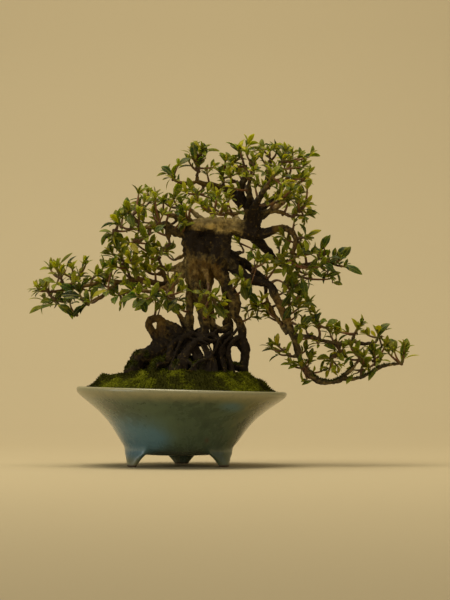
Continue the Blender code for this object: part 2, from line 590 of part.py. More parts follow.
def limb_points():
    """Return every limb as points and radii in millimetres, roots ending in upright pegs."""
    limbs = {}
    last_of = {}
    for limb, index, _, _ in SPRAYS:
        if index == len(LIMBS[limb]) - 1:
            last_of[limb] = True
    for name, rows in LIMBS.items():
        points = [place(*row[:3]) for row in rows]
        radii = [row[3] * PIXEL for row in rows]
        if name in PEGS:
            end = points[-1]
            thick = radii[-1]
            spot = lean(Vector((end.x, end.y, moss_top(end.x, end.y))))
            high = spot.z + thick + 0.6
            kept = [i for i, p in enumerate(points[:-2]) if p.z > high + 1.5]
            points = [points[i] for i in kept]
            radii = [radii[i] for i in kept]
            points += [Vector((end.x, end.y, high)), Vector((end.x, end.y, PEG_FLOOR))]
            radii += [thick, thick]
        elif name in last_of:
            away = (points[-1] - points[-2]).normalized()
            points.append(points[-1] + away * 1.6)
            radii.append(max(radii[-1] * 0.96, 0.8))
        limbs[name] = (points, radii)
    return limbs


def straighten(points, radii, slack=0.5):
    """Leave out the inner points that a limb hardly needs."""
    points = list(points)
    radii = list(radii)
    index = 1
    while index < len(points) - 2:
        before, here, after = points[index - 1], points[index], points[index + 1]
        span = after - before
        share = (here - before).dot(span) / span.length_squared
        off = (before + span * share - here).length
        swell = abs(radii[index - 1] + (radii[index + 1] - radii[index - 1]) * share - radii[index])
        if off < slack and swell < 0.3 and span.length < 26.0:
            del points[index]
            del radii[index]
        index += 1
    return points, radii


def thin_out(obj, ratio, kept=()):
    """Collapse the least needed edges of a joined solid, but none near the kept places."""
    modifier = obj.modifiers.new("thin", "DECIMATE")
    modifier.ratio = ratio
    if kept:
        shift = Vector((SHIFT_X, 0.0, 0.0))
        group = obj.vertex_groups.new(name="thinned")
        for vertex in obj.data.vertices:
            spot = vertex.co * 1000.0 - shift
            if min((spot - place).length for place in kept) > TIP_KEPT:
                group.add([vertex.index], 1.0, "REPLACE")
        modifier.vertex_group = group.name
    bpy.context.view_layer.update()
    bpy.context.view_layer.objects.active = obj
    bpy.ops.object.modifier_apply(modifier="thin")


def sides_for(radius):
    """Return how many sides a limb gets."""
    if radius > 4.5:
        return 8
    if radius > 2.2:
        return 7
    return 6


def shoot_starts(limbs):
    """Return for every shoot its start, its direction and the stub it needs, if any."""
    starts = []
    for limb, index, whorls, _ in SPRAYS:
        points, radii = limbs[limb]
        goal = place(*whorls[0][:3])
        if index == len(LIMBS[limb]) - 1:
            away = (points[-1] - points[-2]).normalized()
            starts.append((points[-1] + away * GAP, away, min(radii[-1] * 0.97, TWIG_RADIUS), None))
            continue
        base = points[index]
        along = (points[index + 1] - points[index - 1]).normalized()
        away = (goal - base).normalized()
        away = (away - along * away.dot(along) * 0.6).normalized()
        reach = radii[index] + 2.0
        stub = ((base + away * radii[index] * 0.3, base + away * reach), (1.05, 0.95))
        starts.append((base + away * (reach + GAP), away, TWIG_RADIUS, stub))
    return starts


class Shoot:
    """A twig with its hubs, grown ring by ring into one closed surface."""

    def __init__(self):
        self.verts = []
        self.faces = []
        self.paths = []
        self.hubs = []

    def ring(self, centre, tangent, radius, toward):
        """Add a ring of four corners, the first one turned towards a given direction."""
        side = toward - tangent * toward.dot(tangent)
        if side.length < 0.001:
            side = frame_of(tangent)[0]
        side.normalize()
        other = tangent.cross(side)
        first = len(self.verts)
        for offset in (side, other, -side, -other):
            self.verts.append(centre + offset * radius)
        return list(range(first, first + 4))

    def join(self, low, high):
        """Close the wall between two rings of four corners."""
        for step in range(4):
            nxt = (step + 1) % 4
            self.faces.append((low[step], low[nxt], high[nxt], high[step]))

    def centre(self, corners):
        """Return the middle of some corners."""
        return sum((self.verts[i] for i in corners), Vector()) / len(corners)

    def normal(self, quad):
        """Return the outward direction of a hub's face."""
        a, b, c, d = (self.verts[i] for i in quad)
        return (c - a).cross(d - b).normalized()

    def twig(self, base, start, lead, goal, radius, bands):
        """Grow a twig from a ring or a hub's face to a whorl and shape the hub there."""
        span = (goal - start).length
        bend = start + lead * span * 0.42
        steps = 3 if span > 11.0 else 2
        points = []
        for step in range(steps + 1):
            t = step / steps
            points.append(start * (1 - t) ** 2 + bend * 2 * t * (1 - t) + goal * t ** 2)
        heading = (points[-1] - points[-2]).normalized()
        hub = [points[-1] - heading * (BAND * (bands - i)) for i in range(bands)] + [points[-1]]
        points = [p for p in points[1:-1] if (p - hub[0]).dot(heading) < -0.5]
        path = [start] + points + hub
        low = base
        rings = []
        for number, point in enumerate(path[1:], 1):
            nearer = path[number - 1]
            farther = path[number + 1] if number + 1 < len(path) else point + heading
            tangent = ((point - nearer).normalized() + (farther - point).normalized()).normalized()
            share = number / (len(path) - 1)
            high = self.ring(point, tangent, radius + (TIP_RADIUS - radius) * share,
                             self.verts[low[0]] - self.centre(low))
            rings.append((low, high))
            low = high
        quads = []
        for number, (near, far) in enumerate(rings):
            if number < len(rings) - bands:
                self.join(near, far)
                continue
            for step in range(4):
                nxt = (step + 1) % 4
                quads.append((near[step], near[nxt], far[nxt], far[step]))
        tip = len(self.verts)
        self.verts.append(goal + heading * 0.7)
        for step in range(4):
            self.faces.append((low[step], low[(step + 1) % 4], tip))
        self.paths.append((path, radius))
        self.hubs.append({"centre": goal, "heading": heading, "quads": quads, "spot": goal})
        return len(self.hubs) - 1

    def take(self, hub, direction):
        """Hand out the free face of a hub that looks most in a direction."""
        quads = self.hubs[hub]["quads"]
        best = max(quads, key=lambda quad: self.normal(quad).dot(direction))
        quads.remove(best)
        return best

    def best_face(self, hub, direction, skip=0):
        """Return the free face that looks most in a direction, without taking it."""
        quads = sorted(self.hubs[hub]["quads"], key=lambda q: -self.normal(q).dot(direction))
        return quads[min(skip, len(quads) - 1)] if quads else None

    def surface(self):
        """Return the surface as it stands, with the hubs' free faces closed."""
        closed = list(self.faces)
        for hub in self.hubs:
            closed.extend(hub["quads"])
        return self.verts, closed


def leaf_rings(base, quad_points, tip, width, up, grow=0.0):
    """Return a leaf's points beyond its foot and the turn that fits its foot to them."""
    axis = tip - base
    length = axis.length
    axis = axis / length
    side = axis.cross(up)
    if side.length < 0.1:
        side = axis.cross(Vector((1.0, 0.2, 0.1)))
    side.normalize()
    normal = side.cross(axis)
    half = width * 0.5 + grow
    rise = LEAF_THICK * 0.5 + grow

    def at(t, across, lift):
        bow = 0.36 * length * t * (1.0 - t)
        return base + axis * (length * t) + side * across + normal * (lift + bow)

    ring = [at(0.38, half * 0.8, 0.1 * half), at(0.46, 0.0, -rise), at(0.38, -half * 0.8, 0.1 * half),
            at(0.46, 0.0, rise)]
    rest = [at(0.7, half * 0.94, 0.1 * half), at(0.7, -half * 0.94, 0.1 * half),
            at(1.0 + grow / length, 0.0, 0.0)]
    turn = min(range(4), key=lambda s: sum(
        (quad_points[k] - ring[(k + s) % 4]).length_squared for k in range(4)))
    return ring, rest, turn


def leaf_faces(quad, ring, rest, turn, points):
    """Return the triangles of a leaf that grows out of a face of a hub."""
    faces = []
    for k in range(4):
        a, b = quad[k], quad[(k + 1) % 4]
        c, d = ring[(k + 1 + turn) % 4], ring[(k + turn) % 4]
        if (points[a] - points[c]).length < (points[b] - points[d]).length:
            faces.extend(((a, b, c), (a, c, d)))
        else:
            faces.extend(((a, b, d), (b, c, d)))
    n0, n1, n2, n3 = ring
    left, right, tip = rest
    faces.extend(((n3, n0, left), (n3, left, tip), (n0, n1, left), (n1, tip, left)))
    faces.extend(((n1, n2, right), (n1, right, tip), (n2, n3, right), (n3, tip, right)))
    return faces


def leaf_test(base, quad_points, tip, width, up, grow, start):
    """Return a leaf as a mesh of its own for the tests, its foot moved up by a share."""
    ring, rest, turn = leaf_rings(base, quad_points, tip, width, up, grow)
    foot = [p.lerp(ring[(k + turn) % 4], start) for k, p in enumerate(quad_points)]
    points = foot + ring + rest
    faces = leaf_faces((0, 1, 2, 3), (4, 5, 6, 7), (8, 9, 10), turn, points)
    faces.append((3, 2, 1, 0))
    return points, faces


def tree_of(parts):
    """Return one search tree for a list of meshes."""
    verts = []
    faces = []
    for points, polygons in parts:
        offset = len(verts)
        verts.extend(points)
        faces.extend(tuple(i + offset for i in polygon) for polygon in polygons)
    return BVHTree.FromPolygons(verts, faces, epsilon=0.0)


def crosses_itself(points, faces):
    """Tell whether faces of one small mesh that share no corner meet."""
    tree = BVHTree.FromPolygons(points, faces, epsilon=0.0)
    for one, two in tree.overlap(tree):
        if one < two and not set(faces[one]) & set(faces[two]):
            return True
    return False


def whorl_leaves(rng, heading, count, length):
    """Yield the wanted leaves of a whorl as direction, length and width."""
    side, other = frame_of(heading)
    turn = rng.uniform(0.0, math.tau)
    for number in range(count):
        share = (number + 0.5) / count
        angle = turn + number * 2.39996
        spread = math.radians(38.0 + 44.0 * share + rng.uniform(-6.0, 6.0))
        out = side * math.cos(angle) + other * math.sin(angle)
        direction = heading * math.cos(spread) + out * math.sin(spread)
        direction.z += 0.22
        direction.normalize()
        size = length * LEAF_GROWTH * rng.uniform(0.86, 1.16) * (0.82 + 0.3 * share)
        yield direction, size, size * rng.uniform(0.33, 0.41)


def grow_twigs(start, heading, radius, whorls, singles):
    """Return the shoot with its twigs; each whorl springs from the nearest earlier one."""
    shoot = Shoot()
    base = shoot.ring(start, heading, radius, frame_of(heading)[0])
    shoot.faces.append(tuple(reversed(base)))
    parents = []
    reach = []
    for number, row in enumerate(whorls):
        goal = place(*row[:3])
        options = [(-1, start)] + [(i, place(*whorls[i][:3])) for i in range(number)]
        options = options[:1] if number == 0 else options[1:]
        parent = min(options, key=lambda o: (o[1] - goal).length)[0]
        parents.append(parent)
        reach.append(row[3] + sum(1 for s in singles if s[0] == number))
    for number, row in enumerate(whorls):
        goal = place(*row[:3])
        need = reach[number] + parents.count(number) + 1
        bands = max(2, math.ceil(need / 4))
        if parents[number] < 0:
            shoot.twig(base, start, heading, goal, radius, bands)
            continue
        hub = shoot.hubs[parents[number]]
        away = (goal - hub["centre"]).normalized()
        quad = shoot.take(parents[number], away)
        origin = shoot.centre(quad)
        lead = (shoot.normal(quad) * 0.6 + away * 0.8).normalized()
        shoot.twig(list(quad), origin, lead, goal, TIP_RADIUS, bands)
    return shoot


def grow_leaves(number, shoot, whorls, singles, clear):
    """Add the leaves of a shoot, each turned or shortened until clear says it is free."""
    rng = random.Random(900 + number)
    wanted = []
    for hub, row in enumerate(whorls):
        heading = shoot.hubs[hub]["heading"]
        centre = shoot.hubs[hub]["centre"]
        for single in singles:
            if single[0] == hub:
                wanted.append((hub, place(*single[1:4]) - centre, single[4], True))
        for direction, size, width in whorl_leaves(rng, heading, row[3], row[4]):
            wanted.append((hub, direction * size, width, False))
    leaves = []
    for hub, reach, width, fixed in wanted:
        size = reach.length
        heading = shoot.hubs[hub]["heading"]
        for attempt in range(36):
            wobble = random.Random(attempt * 7 + number * 31 + len(leaves))
            swing = Vector((wobble.uniform(-1, 1), wobble.uniform(-1, 1), wobble.uniform(-1, 1)))
            swing *= (0.03 if fixed else 0.045) * attempt * size
            if fixed:
                swing.x *= 0.3
                swing.z *= 0.3
            direction = (reach + swing).normalized()
            quad = shoot.best_face(hub, direction, attempt % 2 if attempt > 4 else 0)
            if quad is None:
                break
            base = shoot.centre(quad)
            tip = base + direction * size * (1.0 - 0.01 * attempt)
            up = heading * 0.6 + Vector((0.0, -0.25, 0.8))
            up = up - direction * up.dot(direction)
            corners = [shoot.verts[i] for i in quad]
            leaf = (base, corners, tip, width, up, quad, hub)
            if clear(leaf, leaves) and not crosses_itself(*close_shoot(shoot, leaves + [leaf])):
                shoot.hubs[hub]["quads"].remove(quad)
                leaves.append(leaf)
                break
    return leaves


def close_shoot(shoot, leaves):
    """Return the shoot and its leaves as one closed mesh."""
    verts = list(shoot.verts)
    faces = list(shoot.faces)
    used = [leaf[5] for leaf in leaves]
    for hub in shoot.hubs:
        faces.extend(quad for quad in hub["quads"] if quad not in used)
    for base, corners, tip, width, up, quad, _ in leaves:
        ring, rest, turn = leaf_rings(base, corners, tip, width, up)
        first = len(verts)
        verts.extend(ring + rest)
        numbers = list(range(first, first + 7))
        faces.extend(leaf_faces(quad, numbers[:4], numbers[4:], turn, verts))
    return verts, faces


def build():
    """Build the whole tree in its pot."""
    for old in list(bpy.data.objects):
        bpy.data.objects.remove(old)
    glaze = surface("celadon_glaze", (0.22, 0.25, 0.17), 0.3)
    plastic = surface("screen_plastic", (0.03, 0.03, 0.03), 0.6)
    earth = surface("potting_soil", (0.07, 0.045, 0.03), 0.95)
    moss = surface("green_moss", (0.06, 0.09, 0.02), 0.95)
    bark = surface("azalea_bark", (0.11, 0.075, 0.045), 0.85)
    leaf_green = surface("azalea_leaf", (0.12, 0.2, 0.04), 0.5)

    limbs = limb_points()
    starts = shoot_starts(limbs)

    build_pot(glaze)
    build_screen(plastic)

    wood = []
    for number, (name, (points, radii)) in enumerate(limbs.items()):
        keep = 2 if name in PEGS or len(points) > len(LIMBS[name]) else 1
        points, radii = straighten(points, radii)
        wood.append(tube(points, radii, sides_for(max(radii)), 0.07, number, keep))
    for _, _, _, stub in starts:
        if stub:
            wood.append(tube(stub[0], stub[1], 6))

    soil_under = list(reversed(SOIL_SIDE))
    low = 13.2 + GAP
    top = low + SCREEN_THICK + GAP
    soil_under += [(SCREEN_RADIUS + 0.6, low), (SCREEN_RADIUS + 0.5, top)]
    verts, faces = mound_mesh(
        (47.5, 30.0), soil_under,
        lambda x, y: mound_height(math.hypot(x, y)) - MOSS_THICK - SOIL_DROP)
    soil = make("soil", verts, faces, leaning=True)
    moss_under = [(radius, mound_height(radius) - MOSS_THICK) for radius in UNDER_RINGS]
    verts, faces = mound_mesh(MOSS_RINGS, moss_under, moss_top)
    carpet = make("moss_carpet", verts, faces, leaning=True)
    for target in (soil, carpet):
        cutters = []
        for number, name in enumerate(PEGS):
            points, radii = limbs[name]
            sides = 12 if radii[-1] > 3.0 else 9
            wide = (radii[-1] + GAP) / math.cos(math.pi / sides) + 0.02
            foot = points[-1] - Vector((0.0, 0.0, GAP))
            verts, faces = tube((foot, foot + Vector((0.0, 0.0, 22.0))), (wide, wide), sides)
            cutters.append(make("peg_hole_%d" % number, verts, faces))
        boolean(target, cutters, "DIFFERENCE")
        tidy_shells(target)
        thin_out(target, 0.8)
        tidy_shells(target)
    finish(soil, earth)
    finish(carpet, moss)

    pieces = [make("limb_%d" % n, *mesh) for n, mesh in enumerate(wood)]
    tree = pieces[0]
    tree.name = "tree_wood"
    boolean(tree, pieces[1:], "UNION")
    tidy_shells(tree)
    thin_out(tree, WOOD_SHARE, [start for start, _, _, _ in starts])
    tidy_shells(tree)
    finish(tree, bark)

    shift = Vector((SHIFT_X, 0.0, 0.0))
    solid_parts = [wood_part for wood_part in wood]
    for obj in (soil, carpet, bpy.data.objects["pot"]):
        points = [v.co * 1000.0 - shift for v in obj.data.vertices]
        solid_parts.append((points, [tuple(p.vertices) for p in obj.data.polygons]))
    standing = tree_of(solid_parts)

    shoots = []
    twig_trees = []
    for number, ((_, _, whorls, singles), row) in enumerate(zip(SPRAYS, starts)):
        start, heading, radius, _ = row
        shoot = grow_twigs(start, heading, radius, whorls, singles)
        wide = []
        for order, (path, thick) in enumerate(shoot.paths):
            points = list(path)
            if order == 0:
                points[0] = points[0] + heading * 1.2
            wide.append(tube(points, [thick + 0.35] * len(points), 5))
        guard = tree_of(wide)
        if guard.overlap(standing):
            print("twig of shoot", number + 1, "meets wood, moss or pot")
        for other, other_tree in enumerate(twig_trees):
            if guard.overlap(other_tree):
                print("twigs of shoots", number + 1, other + 1, "meet")
        shoots.append(shoot)
        twig_trees.append(tree_of([shoot.surface()]))

    leaf_trees = []
    total = 0
    lost = 0
    for number, (_, _, whorls, singles) in enumerate(SPRAYS):
        shoot = shoots[number]
        own = twig_trees[number]

        def clear(candidate, leaves):
            guard = tree_of([leaf_test(*candidate[:5], 0.35, 0.3)])
            if guard.overlap(standing):
                return False
            for other, other_tree in enumerate(twig_trees):
                if other != number and guard.overlap(other_tree):
                    return False
            for other_tree in leaf_trees:
                if guard.overlap(other_tree):
                    return False
            bare = tree_of([leaf_test(*candidate[:5], 0.06, 0.15)])
            if bare.overlap(own):
                return False
            for leaf in leaves:
                if bare.overlap(tree_of([leaf_test(*leaf[:5], 0.06, 0.15)])):
                    return False
            return True

        leaves = grow_leaves(number, shoot, whorls, singles, clear)
        want = sum(row[3] for row in whorls) + len(singles)
        total += len(leaves)
        lost += want - len(leaves)
        leaf_trees.append(tree_of([leaf_test(*leaf[:5], 0.0, 0.05) for leaf in leaves]))
        spray = make("spray_%02d" % (number + 1), *close_shoot(shoot, leaves))
        finish(spray, leaf_green)
    print("leaves", total, "left out", lost)


build()
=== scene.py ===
"""The looks of an azalea bonsai in a flared glazed bowl.

Pieces are laid out in the same readings as the solids: a column and a row of a picture
grid with a depth in millimetres, turned into metres by one function.
"""

import logging
import math
import random
from dataclasses import dataclass, field
from enum import Enum
from itertools import combinations
from typing import Callable, Iterable, Sequence

import bmesh
import bpy
import numpy as np
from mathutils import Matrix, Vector, kdtree, noise


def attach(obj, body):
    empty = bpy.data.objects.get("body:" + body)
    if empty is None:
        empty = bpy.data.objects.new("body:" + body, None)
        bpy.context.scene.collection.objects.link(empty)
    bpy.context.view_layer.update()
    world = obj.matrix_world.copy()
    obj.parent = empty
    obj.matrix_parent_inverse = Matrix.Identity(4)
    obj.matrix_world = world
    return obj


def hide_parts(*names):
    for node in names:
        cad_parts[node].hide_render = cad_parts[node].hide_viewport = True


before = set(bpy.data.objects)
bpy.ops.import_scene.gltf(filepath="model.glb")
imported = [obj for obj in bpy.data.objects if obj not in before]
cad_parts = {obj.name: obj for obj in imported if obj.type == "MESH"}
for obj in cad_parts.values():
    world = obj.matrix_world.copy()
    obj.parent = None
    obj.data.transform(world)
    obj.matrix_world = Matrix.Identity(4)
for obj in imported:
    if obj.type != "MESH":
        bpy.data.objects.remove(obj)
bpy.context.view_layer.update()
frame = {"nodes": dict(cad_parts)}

LOG = logging.getLogger("azalea")
MM = 0.001
CELL = 0.8             # millimetres to a cell of the picture grid
AXIS_COLUMN = 218.5    # column of the middle of the bowl's rim
FLOOR_ROW = 282.5      # row of the floor under the feet
SHIFT_X = -26.6        # mm from the bowl's axis to the frame's origin
BOWL_LEAN = 0.028      # the rim stands higher on the left
FOOT_SHIFT = -1.7      # mm, the bowl's foot against its rim

# Moss mound, mm: radius and height before the lean
MOUND = (
    (0.0, 58.8), (20.0, 58.8), (30.0, 58.6), (37.0, 58.2), (41.0, 57.6), (46.0, 55.4),
    (49.0, 54.0), (53.0, 50.2), (56.0, 48.0), (59.2, 45.8), (70.0, 38.0),
)

# Wood: column, row, depth in mm (negative towards the front), radius in cells
LIMBS = {
    "trunk_left": (
        (226, 100, -2, 6.5), (224.5, 110, -4, 6), (225.5, 121, -4, 5), (227, 132, -4, 4.6),
        (229.3, 142, -4, 4.4), (231.5, 151, -4, 4.2), (233.5, 160, -3, 4.2),
        (235.3, 170, -3, 3.9), (236, 178, -3, 3.9), (231, 185, -3, 4.4), (224, 190, -2, 4.6),
        (219, 197, -2, 4.6),
    ),
    "trunk_middle": (
        (239, 99, 4, 9), (239, 110, 5, 9.5), (238, 121, 5, 9), (237, 131, 5, 7.5),
        (236.5, 141, 5, 6), (237, 150, 5, 4.6), (238.5, 159, 5, 3.8), (240.5, 166.5, 5, 3.2),
        (242, 173, 4, 2.8), (243, 180, 4, 2.8), (245.5, 187, 4, 3), (246, 195, 4, 3.4),
        (245, 204, 3, 3.6), (245, 212, 3, 3.6), (245, 221, 3, 3.6),
    ),
    "trunk_right": (
        (250, 101, 0, 7.5), (248.5, 112, -1, 7.5), (247, 122, -1, 7), (248, 131, -1, 5.6),
        (251.5, 140, -2, 4.6), (255.5, 147.5, -3, 4), (259, 154.5, -3, 3.9),
        (259.6, 161, -3, 3.8), (259.3, 167, -3, 3.6), (262.8, 172, -2, 3.4),
        (264.8, 178, -2, 3.2), (265.2, 184, -2, 3.4), (267, 190.5, -2, 3.7),
        (267.6, 197, -2, 3.7), (266.6, 204, -2, 3.6), (266, 213, -2, 3.6), (266, 221, -2, 3.6),
    ),
    "left_leg": (
        (225, 114, -1, 3.6), (224.2, 128, 0, 3.4), (225, 140, 1, 3.4), (224.8, 150, 2, 3.1),
        (224.5, 160, 2, 3), (224, 169, 2, 3.3), (223.7, 177, 2, 4), (222.5, 186, 1, 4.4),
        (220, 197, 1, 5.4), (219, 210, 0, 5), (219, 222, 0, 5),
    ),
    "bowed_root": (
        (226, 119, 2, 2.6), (219, 127.5, 2, 2.3), (213, 137, 3, 2.2), (210.4, 149, 4, 2.1),
        (212.5, 160, 4, 2.1), (217.6, 168.5, 3, 2.1), (221, 176, 2, 2.4), (223, 185, 2, 2.8),
    ),
    "inner_right_root": (
        (247, 127, 4, 3.4), (250, 141, 4, 2.9), (252.3, 152, 5, 2.6), (252.6, 162, 6, 2.7),
        (254.4, 171, 6, 3.3), (254.5, 179, 6, 3.4), (253.5, 187, 6, 3.2), (253, 195, 6, 3.2),
        (253.8, 204, 6, 3.3), (254, 213, 6, 3.3), (254, 221, 6, 3.3),
    ),
    "loop_root": (
        (238, 181, -2, 3.2), (230.5, 184.5, -2, 4.2), (223, 183.5, -2, 4.5),
        (216, 180, -2, 4.7), (209, 176.3, -1, 4.7), (203.4, 172.4, 0, 3.4),
        (198.8, 168.9, 0, 2.5), (194.3, 169.8, 0, 2.3), (192.4, 174.2, 0, 2.3),
        (194.9, 179.4, 0, 2.3), (198.6, 184.4, 0, 2.6), (201.5, 190.5, -1, 3.1),
        (205, 198, -1, 3.6),
    ),
    "loop_shoulder": ((203.6, 172, -1, 3.2), (204.4, 179, -1, 3.8), (206, 187, 0, 4.6)),
    "left_mass": (
        (240, 186.5, 4, 3.2), (230, 187, 4, 4), (218, 188, 3, 8), (209, 189.5, 2, 8.2),
        (200.5, 194, 1, 7.2), (193, 198, 0, 6.2), (185.5, 200.5, -1, 6.6), (181, 212, -2, 6.6),
        (181, 220, -2, 6.6),
    ),
    "left_mass_core": (
        (213, 180, 2, 6), (210, 190, 2, 8), (209, 201, 1, 8.4), (208, 213, 1, 8.4),
        (208, 222, 1, 8.4),
    ),
    "centre_bar": (
        (219, 199, 2, 6), (228, 203.4, 2, 4.8), (238, 203.8, 3, 4.6), (246, 200, 4, 3),
    ),
    "centre_stump": ((234, 199, 2, 3.2), (236, 213, 0, 6.6), (236, 221, 0, 6.6)),
    "cross_root": ((236, 182, 3, 3.6), (244, 186, 5, 3), (252, 188.5, 6, 2.8)),
    "slant_root_a": (
        (225, 184, -4, 2.8), (229.3, 191, -7, 1.9), (232.8, 197.5, -9, 1.9),
        (233.6, 204, -13, 2.4), (233, 213, -16, 2.8), (233, 221, -16, 2.8),
    ),
    "slant_root_b": (
        (231, 184, -4, 2.6), (236.5, 191, -8, 1.8), (240.6, 198, -11, 2),
        (243.2, 204, -13, 2.4), (244, 213, -15, 2.8), (244, 220, -15, 2.8),
    ),
    "arch_root": (
        (247, 194, 5, 2.8), (250.5, 189, 3, 2.3), (256, 185.6, 0, 2), (261.5, 186, -1, 2.2),
        (266, 191, -2, 2.6),
    ),
    "front_knuckle": (
        (213, 197, -6, 5), (206.5, 202.5, -14, 4.2), (200, 204, -20, 3.9),
        (195, 213, -26, 3.6), (195, 220, -26, 3.6),
    ),
    "back_root_a": (
        (233, 179, 6, 4), (225, 186, 13, 4.2), (219, 195, 19, 4.6), (216, 206, 23, 5),
        (215, 220, 24, 5),
    ),
    "back_root_b": (
        (253, 171, 7, 3.2), (254.5, 180, 13, 3.4), (253, 191, 18, 3.8), (250, 202, 22, 4.2),
        (248, 220, 23, 4.2),
    ),
    "bridge": (
        (221, 104, -3, 4.8), (229, 98.5, -3, 5.4), (239, 97.6, -3, 6.2), (250, 97.6, -2, 6.3),
        (260, 98.8, -1, 6.5), (268, 101, 0, 7), (276, 104, 0, 6.6),
    ),
    "riser": (
        (268, 103, 0, 6.6), (272.5, 95, 1, 7), (273.5, 88, 2, 7.2), (271, 81.5, 3, 6),
        (266.5, 77.5, 3, 4.2),
    ),
    "crown_left": (
        (266, 82, 3, 4.2), (260.5, 75, 5, 3.3), (256, 70.2, 6, 2.9), (250, 67.4, 7, 2.6),
        (243, 66, 7, 2.4), (236, 65.2, 6, 2.1), (230, 63.4, 4, 1.9), (223, 65, 2, 1.6),
        (216, 63.6, 0, 1.3),
    ),
    "crown_middle": (
        (267, 81, 2, 3.6), (264, 73, 0, 2.7), (265, 66, -2, 2.3), (268, 59.5, -3, 2),
        (266.5, 52, -3, 1.5),
    ),
    "crown_top": (
        (275, 82, 0, 3.4), (280, 73, -1, 2.3), (284, 63, -2, 1.9), (286.5, 52, -3, 1.4),
    ),
    "crown_front": (
        (272, 90, -4, 3.8), (275.5, 82, -13, 2.8), (280, 75, -22, 2.1), (284, 68.5, -29, 1.5),
    ),
    "crown_back": ((271, 86, 8, 4), (272, 78, 17, 2.8), (270, 69, 25, 2.1), (266, 60.5, 31, 1.4)),
    "crown_right": (
        (277, 85, 4, 3.6), (284, 80.5, 8, 2.5), (290.5, 74, 11, 2.1), (296.5, 67, 12, 1.7),
        (301, 58.5, 12, 1.3),
    ),
    "crown_low_right": (
        (278, 89, 0, 3), (286, 87, -3, 1.6), (294, 87.6, -6, 1.3), (301, 90.6, -8, 1.2),
    ),
    "crown_back_right": (
        (278, 90, 7, 3.6), (287, 85, 16, 2.3), (295, 79, 24, 1.8), (302, 73, 29, 1.3),
    ),
    "right_limb": (
        (275, 103, 0, 5.4), (282, 103.6, -2, 4), (290, 101.4, -5, 2.9), (297, 100.2, -8, 2.5),
        (302.6, 103, -10, 2.4), (306, 108.4, -11, 2.2), (305.4, 114.6, -11, 1.8),
        (303, 121, -11, 1.4),
    ),
    "right_down": (
        (274, 106, 3, 4.4), (280, 111.6, 6, 3.5), (286, 117.6, 10, 2.8), (292, 124, 13, 2.3),
        (299, 128, 14, 1.9), (307, 128.4, 13, 1.6), (315, 126.6, 12, 1.3),
    ),
    "cascade": (
        (250, 120, 1, 6), (257, 128, 0, 5.2), (264, 134.5, -3, 4.5), (271, 139.4, -6, 3.9),
        (279, 141.5, -9, 3.3), (285, 143.4, -11, 3), (289, 149.4, -12, 3), (292.3, 157, -12, 3),
        (296.4, 165, -11, 3), (300, 173, -10, 2.8), (303.5, 181.4, -9, 2.6), (306.3, 190, -8, 2.5),
        (308.5, 198, -7, 2.3), (312, 206, -6, 2.3), (316.6, 212.6, -5, 2.6), (323, 217, -4, 2.2),
        (331, 218.5, -3, 2), (338, 217.4, -2, 2.2), (344, 213.6, -1, 1.9),
    ),
    "cascade_run": (
        (341, 215.8, -1, 1.6), (350, 216, -1, 1.3), (357, 214.3, 0, 1.3), (364, 211.3, 1, 1.3),
        (370, 207.7, 2, 1.2), (376, 205.2, 3, 1.2), (384, 204.3, 4, 1.1),
    ),
    "cascade_rise": ((342, 214.6, -1, 1.7), (348.5, 209, -3, 1.3), (353, 203.5, -4, 1.2)),
    "cascade_second": (
        (304, 182.4, -9, 2), (310, 183, -10, 1.6), (317, 183.7, -10, 1.5), (324, 185.8, -8, 1.4),
        (331, 187.4, -6, 1.3), (340, 188.3, -4, 1.3), (350, 187, -2, 1.5), (358, 188.7, 0, 1.3),
        (365, 188, 2, 1.2),
    ),
    "cascade_companion": (
        (283, 143.6, -9, 1.8), (283, 150, -6, 1.3), (284.6, 157, -5, 1.3), (288, 164, -5, 1.3),
        (293, 171, -6, 1.3), (300, 176, -9, 1.4),
    ),
    "cascade_upper": (
        (252, 118, 5, 5.4), (260, 123.5, 6, 4.1), (268, 127.6, 6, 3.4), (276, 133.6, 3, 2.8),
        (283, 141, -6, 2.4),
    ),
    "stub_left": (
        (225, 104.4, -3, 4.8), (216, 102.8, -3, 3.4), (210, 100.6, -3, 3.6), (206, 97, -3, 3.3),
        (201, 97.8, -4, 1.9), (194, 99.3, -6, 1.4), (187, 100.6, -8, 1.3), (180, 101, -10, 1.2),
    ),
    "stub_spike": ((207, 99, -3, 3), (207.6, 104, -3, 2.3), (208.6, 108.6, -3, 1.2)),
    "upper_left": (
        (229, 101, 3, 3.4), (223, 95, 6, 2.4), (216, 91, 9, 2), (209, 88, 11, 1.8),
        (203, 86.5, 12, 1.5),
    ),
    "upper_left_second": (
        (239, 102, 3, 3.4), (236, 96, 4, 3.2), (229, 88, 8, 2), (222, 83, 11, 1.6),
        (214, 82.5, 13, 1.3),
    ),
    "upper_back": (
        (243, 103, 3, 3.4), (244, 96, 4, 3.2), (243, 89, 12, 2.3), (241, 84, 19, 1.8),
        (238, 80.5, 25, 1.3),
    ),
    "left_low": (
        (228, 124, 2, 4.4), (220, 133, 3, 3.4), (213, 140, 2, 2.8), (206, 143, 0, 2.6),
        (198, 142, -3, 2.2), (189, 139.6, -5, 2), (179, 140, -6, 1.8), (170, 141.6, -6, 1.6),
        (163, 140.3, -6, 1.5), (156, 141, -5, 1.4), (149, 143.3, -4, 1.3), (142, 144.8, -3, 1.3),
        (135, 146, -2, 1.2), (127.5, 147.8, -2, 1.2), (120, 148.6, -2, 1.1),
    ),
    "left_dip": ((168, 141.6, -6, 1.5), (164, 147, -8, 1.3), (159, 152, -9, 1.2), (153, 156, -10, 1.1)),
    "left_rise": ((208, 142, 2, 2.4), (204, 134, 5, 1.9), (201.5, 126, 7, 1.3)),
    "left_back": (
        (222, 128, 6, 3.6), (211, 130, 17, 2.5), (202, 128.5, 24, 2), (192, 127, 30, 1.6),
        (184, 124, 34, 1.3),
    ),
